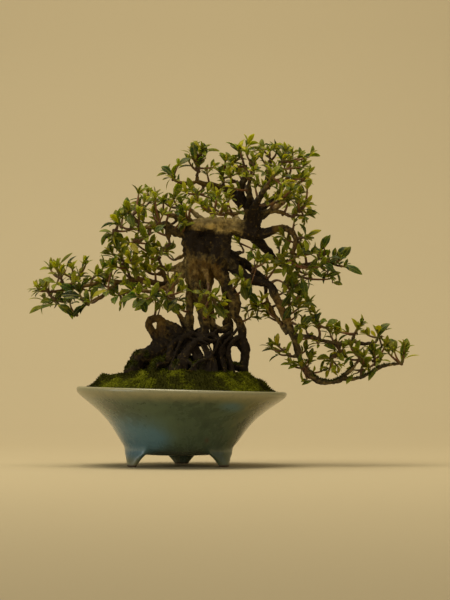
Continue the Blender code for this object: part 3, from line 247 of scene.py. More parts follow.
    "left_front": ((215, 139, 0, 2.6), (206, 146, -10, 1.9), (197, 149, -17, 1.6), (188, 149, -22, 1.3)),
    "trunk_front": ((236, 128, 3, 3), (236, 130, -3, 3), (238, 138, -12, 1.6), (239, 145, -18, 1.3)),
    "back_branch": (
        (243, 114, 8, 4.6), (247, 116, 19, 3.2), (252, 117, 27, 2.4), (258, 117, 33, 1.8),
        (264, 116, 37, 1.3),
    ),
    "back_branch_left": ((235, 112, 8, 4.2), (229, 113, 19, 2.8), (222, 117, 27, 2), (214, 121, 33, 1.3)),
}

# Leafy shoots: limb and point they spring from; whorls as column, row, depth, leaves, leaf
# length in mm; single leaves as whorl, column, row and depth of the tip, width in mm
SPRAYS = (
    ("left_low", 14, ((113, 146.5, -2, 6, 7.5), (121, 156, -4, 5, 7.5)),
     ((1, 102, 165.5, -6, 3.4), (1, 137, 170, -10, 5), (0, 102, 152, -4, 3))),
    ("left_low", 13, ((125.5, 135, -5, 6, 7.5), (122.5, 143, -7, 3, 8)),
     ((0, 135.5, 118, -3, 2.6), (0, 119, 126, -5, 3))),
    ("left_low", 12, ((140, 136, 2, 6, 7), (133, 139, 5, 4, 7)), ((0, 148.5, 120, 2, 3),)),
    ("left_dip", 3, ((147, 157, -11, 5, 8),), ((0, 128, 153, -14, 6.4), (0, 134.5, 168, -10, 4.4))),
    ("left_low", 10, ((153, 136, -3, 5, 7.5), (158, 130, -1, 5, 7.5)), ()),
    ("left_low", 8, ((165, 131, -12, 5, 8), (162, 149, -13, 4, 8)), ()),
    ("left_low", 6, ((172, 124, -3, 5, 8), (181, 128, -9, 5, 8)), ((0, 155, 119, -4, 2.4),)),
    ("left_low", 5, ((180, 149, -13, 5, 8), (170, 152, -11, 4, 8)), ((0, 172, 161, -15, 3),)),
    ("left_front", 3, ((186, 154, -28, 5, 8.5), (196, 154, -25, 4, 8)), ((1, 181, 163, -29, 6),)),
    ("left_front", 1, ((206, 154, -17, 4, 8.5),), ((0, 208, 164.5, -19, 4.4),)),
    ("left_rise", 2, ((197, 116, 9, 5, 8), (207, 117, 6, 4, 8)), ((0, 186, 124, 4, 3.4),)),
    ("stub_left", 7, ((170, 97, -12, 6, 8.5), (166, 106, -9, 5, 8)), ((1, 157.5, 113, -8, 4.4),)),
    ("stub_left", 6, ((178, 88, -7, 6, 9),), ((0, 181, 99, -14, 4.6),)),
    ("stub_left", 5, ((191, 108, -9, 5, 8), (178, 112, -13, 5, 8)), ((1, 166, 118, -12, 3.4),)),
    ("upper_left", 4, ((196, 75, 14, 6, 7.5), (188, 83, 16, 5, 8)),
     ((0, 183, 67.5, 13, 3), (0, 175, 76, 16, 3))),
    ("upper_left_second", 4, ((205, 79, 12, 5, 8), (212, 75, 18, 4, 7.5)), ()),
    ("upper_back", 4, ((230, 76, 28, 5, 8), (242, 76, 27, 5, 8)), ()),
    ("bridge", 1, ((222, 93, -8, 4, 8),), ((0, 215, 101, -11, 4.6),)),
    ("crown_left", 8, ((211, 59.5, 0, 4, 7.5),), ((0, 202, 54, -1, 5), (0, 206, 69, 0, 2.8))),
    ("crown_left", 6, ((231, 50, 3, 6, 8), (232.5, 41, 4, 5, 7)),
     ((1, 248, 39, 3, 2.6), (0, 216, 50, 2, 4.4))),
    ("crown_left", 5, ((228, 72, 0, 5, 7.5), (240, 76, 1, 5, 7.5)), ()),
    ("crown_left", 3, ((249, 57, 9, 5, 7.5), (256, 48, 7, 6, 7.5)), ()),
    ("crown_middle", 4, ((263, 40, -4, 6, 7.5), (270, 36, -2, 4, 7)), ((0, 262, 33, -4, 2.6),)),
    ("crown_top", 3, ((280, 39, -3, 5, 7.5), (290, 39, -6, 6, 7.5)), ((1, 290, 31.5, -6, 2.8),)),
    ("crown_top", 1, ((291, 58, -10, 5, 7.5), (296, 48, -9, 5, 7.5)), ()),
    ("crown_right", 4, ((301, 45, 11, 5, 7.5), (309, 49, 13, 4, 8)),
     ((1, 322, 41, 12, 5.4), (0, 316, 40, 10, 3))),
    ("crown_right", 2, ((301, 68, 17, 5, 7.5), (311, 62, 15, 5, 7.5)), ((1, 322, 60, 14, 3),)),
    ("crown_front", 3, ((287, 63, -33, 5, 7.5), (295, 70, -31, 5, 7.5)), ()),
    ("crown_back", 3, ((262, 53, 34, 5, 7.5), (274, 51, 34, 5, 7.5)), ()),
    ("crown_back_right", 3, ((309, 71, 31, 5, 7.5), (309, 80, 33, 4, 7.5)), ()),
    ("crown_low_right", 3, ((308, 84, -10, 5, 7.5), (313, 92, -9, 4, 7.5)),
     ((0, 322, 82, -11, 2.8), (0, 324.5, 88, -10, 2.8))),
    ("right_limb", 5, ((314, 109, -14, 5, 8),), ((0, 326, 102.5, -15, 2.8),)),
    ("right_limb", 7, ((298, 128, -16, 5, 8), (308, 122, -19, 4, 8)), ()),
    ("right_down", 6, ((325, 122, 12, 5, 8), (336, 126, 10, 4, 8)),
     ((0, 333, 104, 12, 4.2), (1, 349, 114, 8, 5.2), (1, 358, 134.5, 9, 5), (1, 342, 143, 9, 4.2))),
    ("right_down", 5, ((316, 134, 17, 4, 8.5), (310, 137, 10, 3, 9)), ((1, 314, 154, 10, 5),)),
    ("cascade", 3, ((277, 127, -13, 4, 8),), ((0, 268, 154, -12, 5.2),)),
    ("cascade", 5, ((297, 143, -15, 5, 8), (303, 150, -14, 5, 8)), ()),
    ("cascade", 7, ((303, 160, -13, 5, 8),), ((0, 323, 162, -14, 4.6),)),
    ("cascade_companion", 2, ((277.5, 160, -1, 5, 7), (269, 163.5, 2, 4, 6.5)), ()),
    ("cascade", 9, ((309, 177, -16, 5, 8),), ((0, 318, 168, -15, 4),)),
    ("cascade", 12, ((299, 196, -9, 2, 6), (291.5, 190, -7, 6, 7)), ()),
    ("cascade", 14, ((310, 206, -9, 4, 7.5),), ((0, 298, 202, -10, 3.6), (0, 311, 220, -9, 3))),
    ("cascade_second", 3, ((321, 174, -12, 5, 7.5), (330, 177, -10, 4, 7.5)),
     ((0, 325, 164, -12, 4), (1, 339, 171, -9, 4.4))),
    ("cascade_second", 5, ((338, 196, -4, 5, 8), (333, 202, -6, 4, 8)), ()),
    ("cascade_second", 8, ((370, 180, 3, 5, 6.5), (373, 191, 5, 5, 7.5)),
     ((0, 378.5, 172, 4, 4.2), (1, 384, 193, 7, 3))),
    ("cascade_rise", 2, ((353, 197, -5, 5, 7.5),), ((0, 343, 205, -6, 4),)),
    ("cascade_run", 2, ((359, 204, 1, 5, 8),), ((0, 358, 190, 0, 4),)),
    ("cascade_run", 4, ((367, 200, 5, 4, 7.5),), ((0, 364, 216, 4, 4.6),)),
    ("cascade_run", 6, ((390, 199.5, 5, 4, 7),), ((0, 393, 184, 5, 4.8),)),
    ("back_branch", 4, ((263, 108, 40, 5, 8.5), (274, 113, 40, 5, 8.5)), ()),
    ("back_branch_left", 3, ((206, 118, 36, 5, 8.5),), ()),
    ("left_back", 4, ((176, 121, 36, 5, 8.5), (184, 133, 36, 5, 8.5)), ()),
    ("trunk_front", 3, ((235, 152, -22, 5, 7), (244, 154, -21, 3, 7)), ((1, 252, 167, -22, 4.4),)),
)

# Forms too fine for the solids: inner roots and branches
FINE_LIMBS = {
    "trunk_core": ((238, 100, 5, 9), (238.5, 110, 4, 11), (238.5, 121, 3, 10), (237, 131, 1, 7)),
    "crown_pale": ((270.5, 85, -2, 3), (270.8, 76, -5, 2), (270, 68, -7, 1.7), (271.5, 60, -8, 1.4)),
    "back_high": ((262, 101, 6, 4.4), (262, 94, 17, 2.9), (258, 87, 25, 2.2), (252, 81.5, 31, 1.5)),
    "left_shoulder": (
        (203, 179, 2, 4.6), (200.5, 188, 3, 5.6), (197, 197, 4, 6.4), (195, 207, 4, 6.8),
        (195, 220, 4, 6.8),
    ),
    "front_root": (
        (226, 186, -4, 3.4), (222, 195, -10, 3.4), (217, 203, -16, 3.5), (214, 211, -20, 3.6),
        (213, 220, -21, 3.6),
    ),
    "back_root_c": (
        (224, 178, 4, 3.6), (215, 186, 12, 4.4), (207, 195, 18, 4.8), (201, 206, 22, 5),
        (199, 220, 23, 5),
    ),
    "inner_cross": ((240, 171, 3, 2.4), (244.5, 176.3, 2, 2.4), (250, 178.2, 3, 2.6), (256, 175, 4, 2.8)),
    "arch_second": ((251, 193, 4, 2.6), (256, 189.5, 2, 2.3), (261.5, 189, 0, 2.2), (266, 193.5, -1, 2.6)),
    "foot_cross": ((251, 207, 2, 3), (257, 205.8, 0, 2.6), (262, 206.6, -2, 2.8), (268, 208, -3, 3)),
    "loop_fill": ((204, 173.5, 0, 2.8), (200.8, 172.6, 0, 1.9), (200.8, 177, 0, 1.9), (203, 183, 0, 2.8)),
    "loop_ring": (
        (203.5, 171.6, 0, 3), (198.6, 169.4, 0, 2.8), (194.4, 171, 0, 2.8), (193.2, 175, 0, 2.8),
        (195.8, 180, 0, 2.8), (199.5, 185.5, 0, 3), (203, 192, 0, 3.4),
    ),
    "knot_root_a": (
        (228, 180, -6, 2.2), (222, 183, -9, 2), (216, 185.5, -9, 2.2), (211, 191, -9, 2.6),
        (209, 199, -11, 3),
    ),
    "knot_root_b": (
        (240, 181, -4, 2), (246, 185.5, -5, 1.8), (250, 192, -5, 1.8), (249, 199, -7, 2),
        (251, 207, -9, 2.4), (252, 216, -10, 2.6),
    ),
    "knot_root_c": (
        (256, 181, 0, 2), (250, 184, -3, 1.7), (243, 187, -6, 1.6), (236, 185.5, -8, 1.7),
        (230, 187, -9, 2), (224, 193, -12, 2.4), (221, 202, -15, 2.6), (220, 214, -16, 2.8),
    ),
    "knot_root_d": (
        (262, 183, -3, 1.9), (258, 187, -6, 1.5), (254, 193, -7, 1.5), (254.5, 200, -8, 1.7),
        (257, 208, -9, 2), (258, 216, -10, 2.2),
    ),
    "slit_left": (
        (223, 186, -5, 1.8), (226, 192, -8, 1.8), (229, 199, -11, 2), (230, 207, -14, 2.2),
        (230, 216, -17, 2.4),
    ),
    "slit_middle": (
        (230, 184, -6, 1.6), (234, 190, -9, 1.5), (237.2, 197, -11, 1.5), (238.5, 204, -14, 1.8),
        (238, 216, -16, 2.2),
    ),
    "crown_low": (
        (268, 87, -3, 1.6), (262, 88.5, -7, 1.4), (255, 89.5, -10, 1.2), (248, 89, -11, 1.1),
        (241, 88, -11, 0.9),
    ),
    "cascade_strand": (
        (285.5, 160, -6, 1.6), (290, 167, -6, 1.8), (295, 174, -7, 1.8), (300, 181, -8, 1.8),
    ),
    "left_curl": (
        (167, 145, -8, 1.2), (159, 151, -9, 1), (151, 155.5, -9, 1), (143.5, 160, -9, 1),
        (137.5, 166.5, -8, 0.9),
    ),
    "trunk_face": (
        (230, 108, -2, 4), (231.5, 115, -3.5, 5), (233, 122, -4.5, 5.4), (234.5, 129, -4, 5.2),
        (234.5, 136, -2.5, 4), (234, 143, -1, 2.8),
    ),
    "trunk_cheek": (
        (243, 108, 0, 4.4), (244.5, 115, -2, 4.6), (243.5, 122, -3.5, 4.4), (243, 129, -3, 4),
        (246, 135, -3, 3), (250.5, 141, -3.5, 2),
    ),
    "trunk_brow": ((252, 108, -2, 2.6), (254.5, 114, -4, 2.4), (253, 121, -5, 2.4), (257, 128, -5.5, 1.8)),
    "strand_a": (
        (222, 182, -7, 1.2), (228, 185.5, -10, 1), (235, 187, -11, 0.9), (240, 191, -12, 0.9),
        (241.5, 198, -14, 1), (240.5, 207, -16, 1.1), (241, 217, -18, 1.2),
    ),
    "strand_b": (
        (252, 181, -3, 1.3), (247, 186.5, -8, 1.1), (244.5, 193, -12, 1.1), (239, 200, -15, 1.2),
        (232, 202.5, -17, 1.3), (226, 209, -19, 1.5), (224, 217, -20, 1.6),
    ),
    "strand_c": (
        (206, 187, -7, 1.5), (211, 194, -10, 1.3), (218, 200, -14, 1.3), (226, 204, -17, 1.4),
        (231, 213, -19, 1.6),
    ),
    "strand_d": (
        (222, 181, -7, 1.2), (217, 189, -12, 1), (213.5, 198, -15, 1), (210, 207, -19, 1.2),
        (209, 217, -21, 1.4),
    ),
    "strand_e": (
        (262, 176, -3, 1.2), (258, 181.5, -5, 1.1), (252, 187.5, -7, 1), (248, 194, -9, 1.1),
        (249.5, 203, -12, 1.3), (252, 213, -13, 1.5),
    ),
    "strand_f": (
        (221, 176, 1, 1.3), (227, 181, -5, 1.2), (234, 183.5, -7, 1.2), (241, 181.5, -5, 1.1),
        (247, 177, -1, 1.2),
    ),
}
FINE_SPRAYS = (
    ("left_rise", 1, ((190, 131, 10, 5, 8), (195, 126, 16, 4, 8)), ()),
    ("stub_spike", 2, ((203, 115, -6, 4, 7.5),), ()),
    ("upper_left", 2, ((200, 95, 17, 5, 8), (188, 94, 13, 4, 8)), ()),
    ("crown_middle", 2, ((256, 61, -6, 5, 7.5),), ()),
    ("crown_pale", 3, ((274, 49, -11, 5, 7.5),), ()),
    ("crown_front", 1, ((284, 81, -19, 4, 7.5),), ()),
    ("crown_low_right", 1, ((296, 79, -10, 5, 7.5),), ()),
    ("right_down", 3, ((294, 113, 17, 5, 8),), ()),
    ("cascade_second", 6, ((356, 174, -3, 5, 6),), ()),
    ("back_high", 3, ((248, 75, 34, 5, 8),), ()),
)
# Single leaves: foot and tip as column, row and depth, width in mm, age
BLADES = (
    (136, 168, -8, 124, 159, -12, 5.4, 0.9), (142, 153, -10, 127, 152, -14, 6.4, 0.95),
    (342, 128, 4, 358, 135, 2, 4.8, 0.85), (342, 123.5, 4, 349, 113.5, 2, 4.4, 0.85),
    (335, 141.5, 4, 342.5, 143, 2, 3.6, 0.9), (388, 202, 4, 392.5, 185.5, 2, 4.8, 0.7),
    (369, 185, 2, 378.5, 173.5, 0, 2.8, 0.8), (370, 206, 2, 362, 217, -2, 4.2, 0.9),
    (309, 205, -7, 300, 208, -10, 3, 0.8), (319, 217, -5, 310.5, 220.5, -8, 2.8, 0.8),
    (199, 155, -16, 183, 164, -22, 4.8, 0.8), (216, 154, -18, 208, 166, -22, 5.2, 0.9),
    (243, 159, -20, 252, 170, -23, 4.8, 0.7), (264, 144, -12, 268, 156, -15, 4.8, 0.8),
    (337, 184, -6, 340, 171, -9, 4.6, 0.9), (202, 160, 0, 212, 156, 2, 3, 0.8),
    (328.5, 115, 2, 333, 104.5, 0, 3.6, 0.9), (311, 138, -12, 313.5, 153.5, -15, 4.8, 0.9),
    (351, 212, 0, 345, 220, -3, 3.2, 0.8), (222, 96, -12, 216, 101, -16, 3.4, 0.8),
    (335.5, 123, 2, 337, 114.5, 0, 3, 0.9), (328, 138, 2, 341, 133.5, 0, 3.4, 0.6),
    (317, 131, 0, 327, 138, -2, 3.4, 0.85), (327.5, 126, 0, 335.5, 132.5, -2, 4.4, 0.9),
    (330, 127, 2, 341, 122.5, 0, 3.2, 0.8), (123, 158.5, -6, 103, 164.8, -8, 3.2, 0.6),
    (143.5, 159.5, -8, 135, 168, -10, 3.8, 0.45), (148.5, 153, -8, 155, 144.5, -10, 3.6, 0.8),
    (124, 128, -2, 134.5, 118.5, -2, 2.2, 0.3), (166, 121, -6, 155.5, 119, -8, 2.4, 0.4),
    (161, 103, -6, 157.3, 113.5, -8, 3, 0.85), (172.5, 158, -10, 170.8, 164.2, -10, 1.4, 0.4),
    (236, 39, 0, 247.5, 39.5, 0, 2.2, 0.4), (211, 59, -7, 202.5, 53, -8, 5, 0.95),
    (285.5, 134.3, 4, 298.5, 132, 2, 3.2, 0.4), (274.5, 125, -4, 286.5, 127.3, -6, 3.6, 0.9),
    (374, 190, 2, 383, 190.5, 2, 1.6, 0.4), (229, 47, -6, 227, 33.5, -7, 5, 0.85),
    (236.5, 46, -5, 235, 34, -6, 4.6, 0.95), (226, 46, -6, 216.5, 51, -8, 4.4, 0.75),
    (300, 108, -4, 299, 118, -8, 3.6, 0.8), (206, 98, -12, 198, 104, -14, 4, 0.9),
)
# Whorls that spring from the nearest wood: column, row, depth, leaves, leaf length in mm
FILL = (
    (229, 39, 0, 8, 8), (226, 42, 4, 6, 8), (234, 40, -5, 7, 8), (224, 48, 2, 5, 7.5),
    (232, 47, 6, 5, 7), (208, 58, -2, 5, 7), (215, 51, 4, 4, 8), (213, 63, -6, 4, 7),
    (238, 57, 3, 5, 6.5), (242, 53, -4, 5, 7), (252, 48, 2, 7, 7.5), (258, 52, -8, 7, 7.5),
    (255, 60, -12, 6, 7), (250, 64, -3, 5, 7), (262, 46, 3, 7, 7.5), (268, 43, -10, 7, 7),
    (262, 56, 8, 6, 7), (268, 62, -16, 6, 7), (258, 70, -14, 6, 7.5), (274, 58, -18, 6, 7),
    (276, 66, -10, 6, 7), (281, 70, -20, 6, 7), (280, 46, -4, 7, 7.5), (286, 42, -12, 7, 7),
    (292, 40, -2, 6, 7.5), (298, 42, -10, 7, 7.5), (304, 42, 2, 6, 8), (309, 46, -8, 6, 8),
    (316, 45, -4, 4, 9), (312, 52, 4, 6, 7.5), (305, 54, -14, 6, 7), (298, 52, 6, 6, 7),
    (290, 54, -16, 6, 7), (288, 62, -6, 6, 7), (284, 52, 8, 6, 7), (296, 62, -18, 6, 7),
    (304, 64, -4, 6, 7.5), (312, 62, -12, 6, 7.5), (316, 58, 2, 4, 8), (315, 70, -6, 6, 8),
    (310, 72, 8, 6, 7), (302, 72, -16, 6, 7), (294, 72, 4, 6, 7), (300, 80, -10, 6, 7),
    (308, 80, -18, 6, 7), (314, 82, -2, 6, 8), (316, 90, -8, 5, 8), (306, 88, 6, 6, 7),
    (290, 80, -22, 5, 7), (222, 73, -8, 6, 7.5), (230, 75, -14, 6, 7.5), (238, 73, -6, 6, 7.5),
    (246, 76, -14, 6, 7.5), (226, 82, -12, 6, 7.5), (234, 84, -18, 6, 7.5),
    (242, 84, -10, 6, 7.5), (250, 84, -18, 6, 7.5), (218, 81, 0, 6, 7.5), (255, 78, -16, 6, 7),
    (212, 77, 4, 6, 7.5), (210, 84, -8, 6, 7.5), (204, 79, 6, 6, 7.5), (222, 88, -16, 5, 7),
    (245, 90, -16, 4, 6.5), (185, 73, 0, 6, 8), (192, 72, 6, 5, 8), (198, 77, -4, 6, 8),
    (190, 80, -8, 6, 8), (184, 84, 4, 6, 8), (173, 92, -6, 6, 8.5), (177, 94, 4, 6, 8),
    (186, 90, -10, 6, 8), (196, 88, 2, 6, 8), (204, 90, -8, 5, 7.5), (169, 98, -2, 6, 8),
    (178, 102, -8, 6, 8), (188, 102, 4, 6, 8), (198, 102, -6, 6, 7.5), (167, 110, 2, 6, 8.5),
    (174, 112, -8, 6, 8), (184, 112, 2, 6, 8), (193, 112, -6, 6, 8), (164, 118, -4, 5, 8),
    (172, 120, 4, 6, 8), (182, 122, -8, 6, 8), (192, 122, 0, 6, 8), (200, 120, -8, 5, 7.5),
    (168, 130, -10, 7, 8.5), (174, 134, -2, 7, 8.5), (182, 134, -10, 6, 8),
    (165, 138, 4, 6, 8), (190, 132, 4, 6, 8), (198, 134, -8, 6, 8), (208, 134, -10, 6, 8),
    (176, 144, -12, 6, 8), (186, 144, -4, 7, 8.5), (194, 146, -12, 7, 8.5), (202, 146, -2, 6, 8),
    (210, 144, -12, 5, 7.5), (190, 155, -10, 6, 9), (198, 155, 0, 6, 8.5), (208, 155, -8, 6, 8.5),
    (174, 154, 0, 5, 8), (216, 150, -14, 5, 8), (108, 146, -2, 6, 7), (108, 148, 4, 6, 8),
    (117, 131, 0, 7, 8), (122, 131, -6, 6, 8), (127, 134, 4, 7, 8), (134, 131, -4, 6, 8),
    (144, 128, 2, 4, 9), (136, 142, -6, 7, 8), (144, 142, 4, 7, 8), (130, 150, 0, 7, 8.5),
    (140, 150, -6, 7, 9), (132, 158, 4, 5, 10), (127, 157, -4, 5, 10), (118, 152, 2, 6, 8.5),
    (113, 156, 0, 5, 10), (148, 148, 0, 6, 8.5), (156, 142, -6, 7, 8), (160, 138, 4, 6, 8),
    (241, 153, -22, 6, 7.5), (246, 160, -20, 6, 8), (236, 162, -22, 6, 8),
    (240, 167, -20, 5, 7.5), (250, 157, -16, 5, 7.5), (219, 149, -20, 6, 8),
    (264, 139, -16, 6, 8.5), (266, 147, -12, 6, 8.5), (261, 144, -10, 5, 7.5), (214, 141, -18, 5, 7.5),
    (285, 168, -4, 6, 7), (276, 163, -2, 6, 8), (284, 163, -8, 6, 8), (272, 168, -4, 4, 7),
    (280, 156, -10, 6, 8), (282, 127, -14, 6, 8), (290, 131, -6, 7, 8), (284, 135, -12, 6, 8),
    (297, 107, -10, 6, 8), (300, 114, -2, 6, 8), (304, 122, -12, 7, 8), (296, 122, 4, 6, 8),
    (310, 109, -6, 6, 8), (312, 116, 2, 6, 8), (318, 120, -8, 6, 8.5), (314, 178, -4, 6, 8),
    (305, 95, -8, 5, 7), (306, 168, 0, 5, 8), (331, 124, -4, 4, 8), (324, 130, -8, 7, 9),
    (330, 133, 0, 4, 8), (332, 139, -4, 4, 7), (343, 192, -4, 5, 7.5), (316, 132, -12, 7, 8.5),
    (308, 132, -2, 7, 8.5), (300, 136, -12, 7, 8.5), (296, 150, -4, 7, 8.5),
    (304, 146, -12, 7, 8.5), (311, 144, -4, 7, 8.5), (300, 154, 2, 6, 8), (309, 152, -10, 6, 8),
    (308, 162, -6, 7, 8.5), (316, 160, 2, 7, 8.5), (321, 166, -8, 6, 8), (312, 172, 0, 6, 8),
    (322, 172, -6, 7, 8), (333, 181, 2, 6, 8), (340, 180, -6, 7, 8), (346, 181, 2, 7, 8),
    (354, 178, -4, 6, 8), (362, 182, 2, 7, 8), (378, 196, 2, 5, 7.5), (316, 185, -8, 6, 7.5),
    (314, 194, 0, 7, 8), (316, 204, -6, 6, 8), (324, 189, 2, 5, 7), (317, 200, -4, 7, 8),
    (336, 191, 2, 6, 7.5), (338, 206, -6, 7, 8), (346, 200, 0, 7, 8), (348, 191, -6, 6, 7.5),
    (352, 209, 2, 6, 8), (358, 200, -6, 7, 8), (362, 207, 0, 6, 8), (366, 194, 2, 7, 8),
    (371, 202, -6, 6, 8), (375, 191, 0, 6, 8), (382, 195, -4, 6, 8), (390, 193, 0, 5, 9),
    (326, 210, 0, 5, 7.5), (288, 193, -4, 7, 8), (294, 197, 0, 6, 8), (302, 205, -6, 5, 8),
    (315, 216, 0, 4, 7), (332, 209, -2, 6, 7), (221, 99, -12, 6, 6.5), (217, 96, -8, 5, 7),
    (275, 70, -14, 6, 7), (287, 68, -10, 6, 7), (254, 80, -10, 6, 7), (262, 88, -14, 5, 6.5),
    (252, 88, -14, 5, 6.5), (238, 88, -14, 6, 7), (231, 80, -12, 6, 7), (218, 156, -14, 5, 7.5),
    (248, 166, -20, 5, 7.5), (219, 163, -12, 4, 7), (344, 129, 0, 3, 6), (340, 124, 0, 3, 6),
)


def spot(column: float, row: float, depth: float) -> Vector:
    """Turn a reading of the picture grid into a place.

    Args:
        column: Column of the grid.
        row: Row of the grid.
        depth: Millimetres behind the middle plane of the tree.

    Returns:
        The place in millimetres, in the frame of the solids.
    """
    return Vector(((column - AXIS_COLUMN) * CELL + SHIFT_X, depth, (FLOOR_ROW - row) * CELL))


def lean(points: np.ndarray) -> np.ndarray:
    """Apply the bowl's uneven stand.

    Args:
        points: Places about the bowl's own axis, in millimetres.

    Returns:
        The places in the frame of the solids, in millimetres.
    """
    share = np.clip((points[:, 2] - 9.0) / 38.0, 0.0, 1.0)
    moved = points.copy()
    moved[:, 0] += FOOT_SHIFT * (1.0 - share) + SHIFT_X
    moved[:, 2] -= BOWL_LEAN * points[:, 0] * share
    return moved


def mound_height(radius: float) -> float:
    """Return the height of the moss before the lean, in mm, at a radius in mm."""
    for (near, low), (far, high) in zip(MOUND, MOUND[1:]):
        if radius <= far:
            return low + (high - low) * (radius - near) / (far - near)
    return MOUND[-1][1]


def patch(value: float, low: float, high: float, soft: float) -> float:
    """Return 1 between two bounds and 0 outside, with soft edges as wide as given."""
    return min(max(min(value - low, high - value) / soft + 0.5, 0.0), 1.0)


def square_to(direction: Vector) -> tuple[Vector, Vector]:
    """Return two unit vectors square to a direction and to each other."""
    side = direction.cross(Vector((0.31, 0.17, 0.93)))
    if side.length < 0.05:
        side = direction.cross(Vector((1.0, 0.0, 0.0)))
    side.normalize()
    return side, direction.cross(side).normalized()


def rest_all() -> None:
    """Leave edit mode and deselect everything."""
    if bpy.context.object and bpy.context.object.mode != "OBJECT":
        bpy.ops.object.mode_set(mode="OBJECT")
    bpy.ops.object.select_all(action="DESELECT")


def hold(piece: bpy.types.Object) -> None:
    """Select one piece alone and make it active."""
    rest_all()
    piece.select_set(True)
    bpy.context.view_layer.objects.active = piece


def apply_modifier(piece: bpy.types.Object, kind: str, **settings: object) -> None:
    """Add a modifier to a piece and apply it.

    Args:
        piece: The piece.
        kind: The modifier's type.
        **settings: The modifier's properties.
    """
    hold(piece)
    modifier = piece.modifiers.new(kind.lower(), kind)
    for key, value in settings.items():
        setattr(modifier, key, value)
    bpy.ops.object.modifier_apply(modifier=modifier.name)


def read_points(mesh: bpy.types.Mesh) -> np.ndarray:
    """Return a mesh's places in millimetres, one row each."""
    flat = np.empty(len(mesh.vertices) * 3)
    mesh.vertices.foreach_get("co", flat)
    return flat.reshape(-1, 3) / MM


def write_points(mesh: bpy.types.Mesh, points: np.ndarray) -> None:
    """Set a mesh's places from millimetres."""
    mesh.vertices.foreach_set("co", (points * MM).ravel())
    mesh.update()


def read_normals(mesh: bpy.types.Mesh) -> np.ndarray:
    """Return the normals at a mesh's places, one row each."""
    flat = np.empty(len(mesh.vertices) * 3)
    mesh.vertex_normals.foreach_get("vector", flat)
    return flat.reshape(-1, 3)


def paint(mesh: bpy.types.Mesh, name: str, values: np.ndarray) -> None:
    """Store colours at a mesh's places.

    Args:
        mesh: The mesh.
        name: Name of the attribute.
        values: Three numbers a place.
    """
    layer = mesh.color_attributes.new(name, "FLOAT_COLOR", "POINT")
    full = np.ones((len(values), 4))
    full[:, :3] = values
    layer.data.foreach_set("color", full.ravel())


def seat(piece: bpy.types.Object, slot: str, material: bpy.types.Material, *nodes: str) -> None:
    """Dress a finished piece, let it ride on the frame and hide the solids that it stands for.

    Args:
        piece: The piece, its place in its mesh.
        slot: Not used.
        material: The finish.
        *nodes: The solids that it stands for.
    """
    piece.data.materials.clear()
    piece.data.materials.append(material)
    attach(piece, "root")
    if nodes:
        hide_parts(*nodes)
    count = sum(len(p.vertices) - 2 for p in piece.data.polygons)
    LOG.info("%s: %d triangles", piece.name, count)


class Signal:
    """A number that varies over a surface: the output of a shader node."""

    def __init__(self, recipe: "Recipe", socket: bpy.types.NodeSocket) -> None:
        """Keep the recipe that the socket belongs to."""
        self.recipe = recipe
        self.socket = socket

    def _maths(self, operation: str, first: object, second: object) -> "Signal":
        """Return the result of a Math node."""
        return self.recipe.add("ShaderNodeMath", {"operation": operation}, {0: first, 1: second})

    def __add__(self, other: object) -> "Signal":
        """Add."""
        return self._maths("ADD", self, other)

    __radd__ = __add__

    def __sub__(self, other: object) -> "Signal":
        """Subtract."""
        return self._maths("SUBTRACT", self, other)

    def __rsub__(self, other: object) -> "Signal":
        """Subtract from a number."""
        return self._maths("SUBTRACT", other, self)

    def __mul__(self, other: object) -> "Signal":
        """Multiply."""
        return self._maths("MULTIPLY", self, other)

    __rmul__ = __mul__

    def __truediv__(self, other: object) -> "Signal":
        """Divide."""
        return self._maths("DIVIDE", self, other)

    def __abs__(self) -> "Signal":
        """Return the size without its sign."""
        return self._maths("ABSOLUTE", self, 0.0)

    def power(self, exponent: float) -> "Signal":
        """Return the number raised to an exponent."""
        return self._maths("POWER", self, exponent)

    def larger(self, other: object) -> "Signal":
        """Return the larger of this and another."""
        return self._maths("MAXIMUM", self, other)

    def between(self, low: float, high: float) -> "Signal":
        """Return a smooth step from 0 at low to 1 at high."""
        inputs = {"Value": self, "From Min": low, "From Max": high}
        settings = {"interpolation_type": "SMOOTHSTEP"}
        return self.recipe.add("ShaderNodeMapRange", settings, inputs)


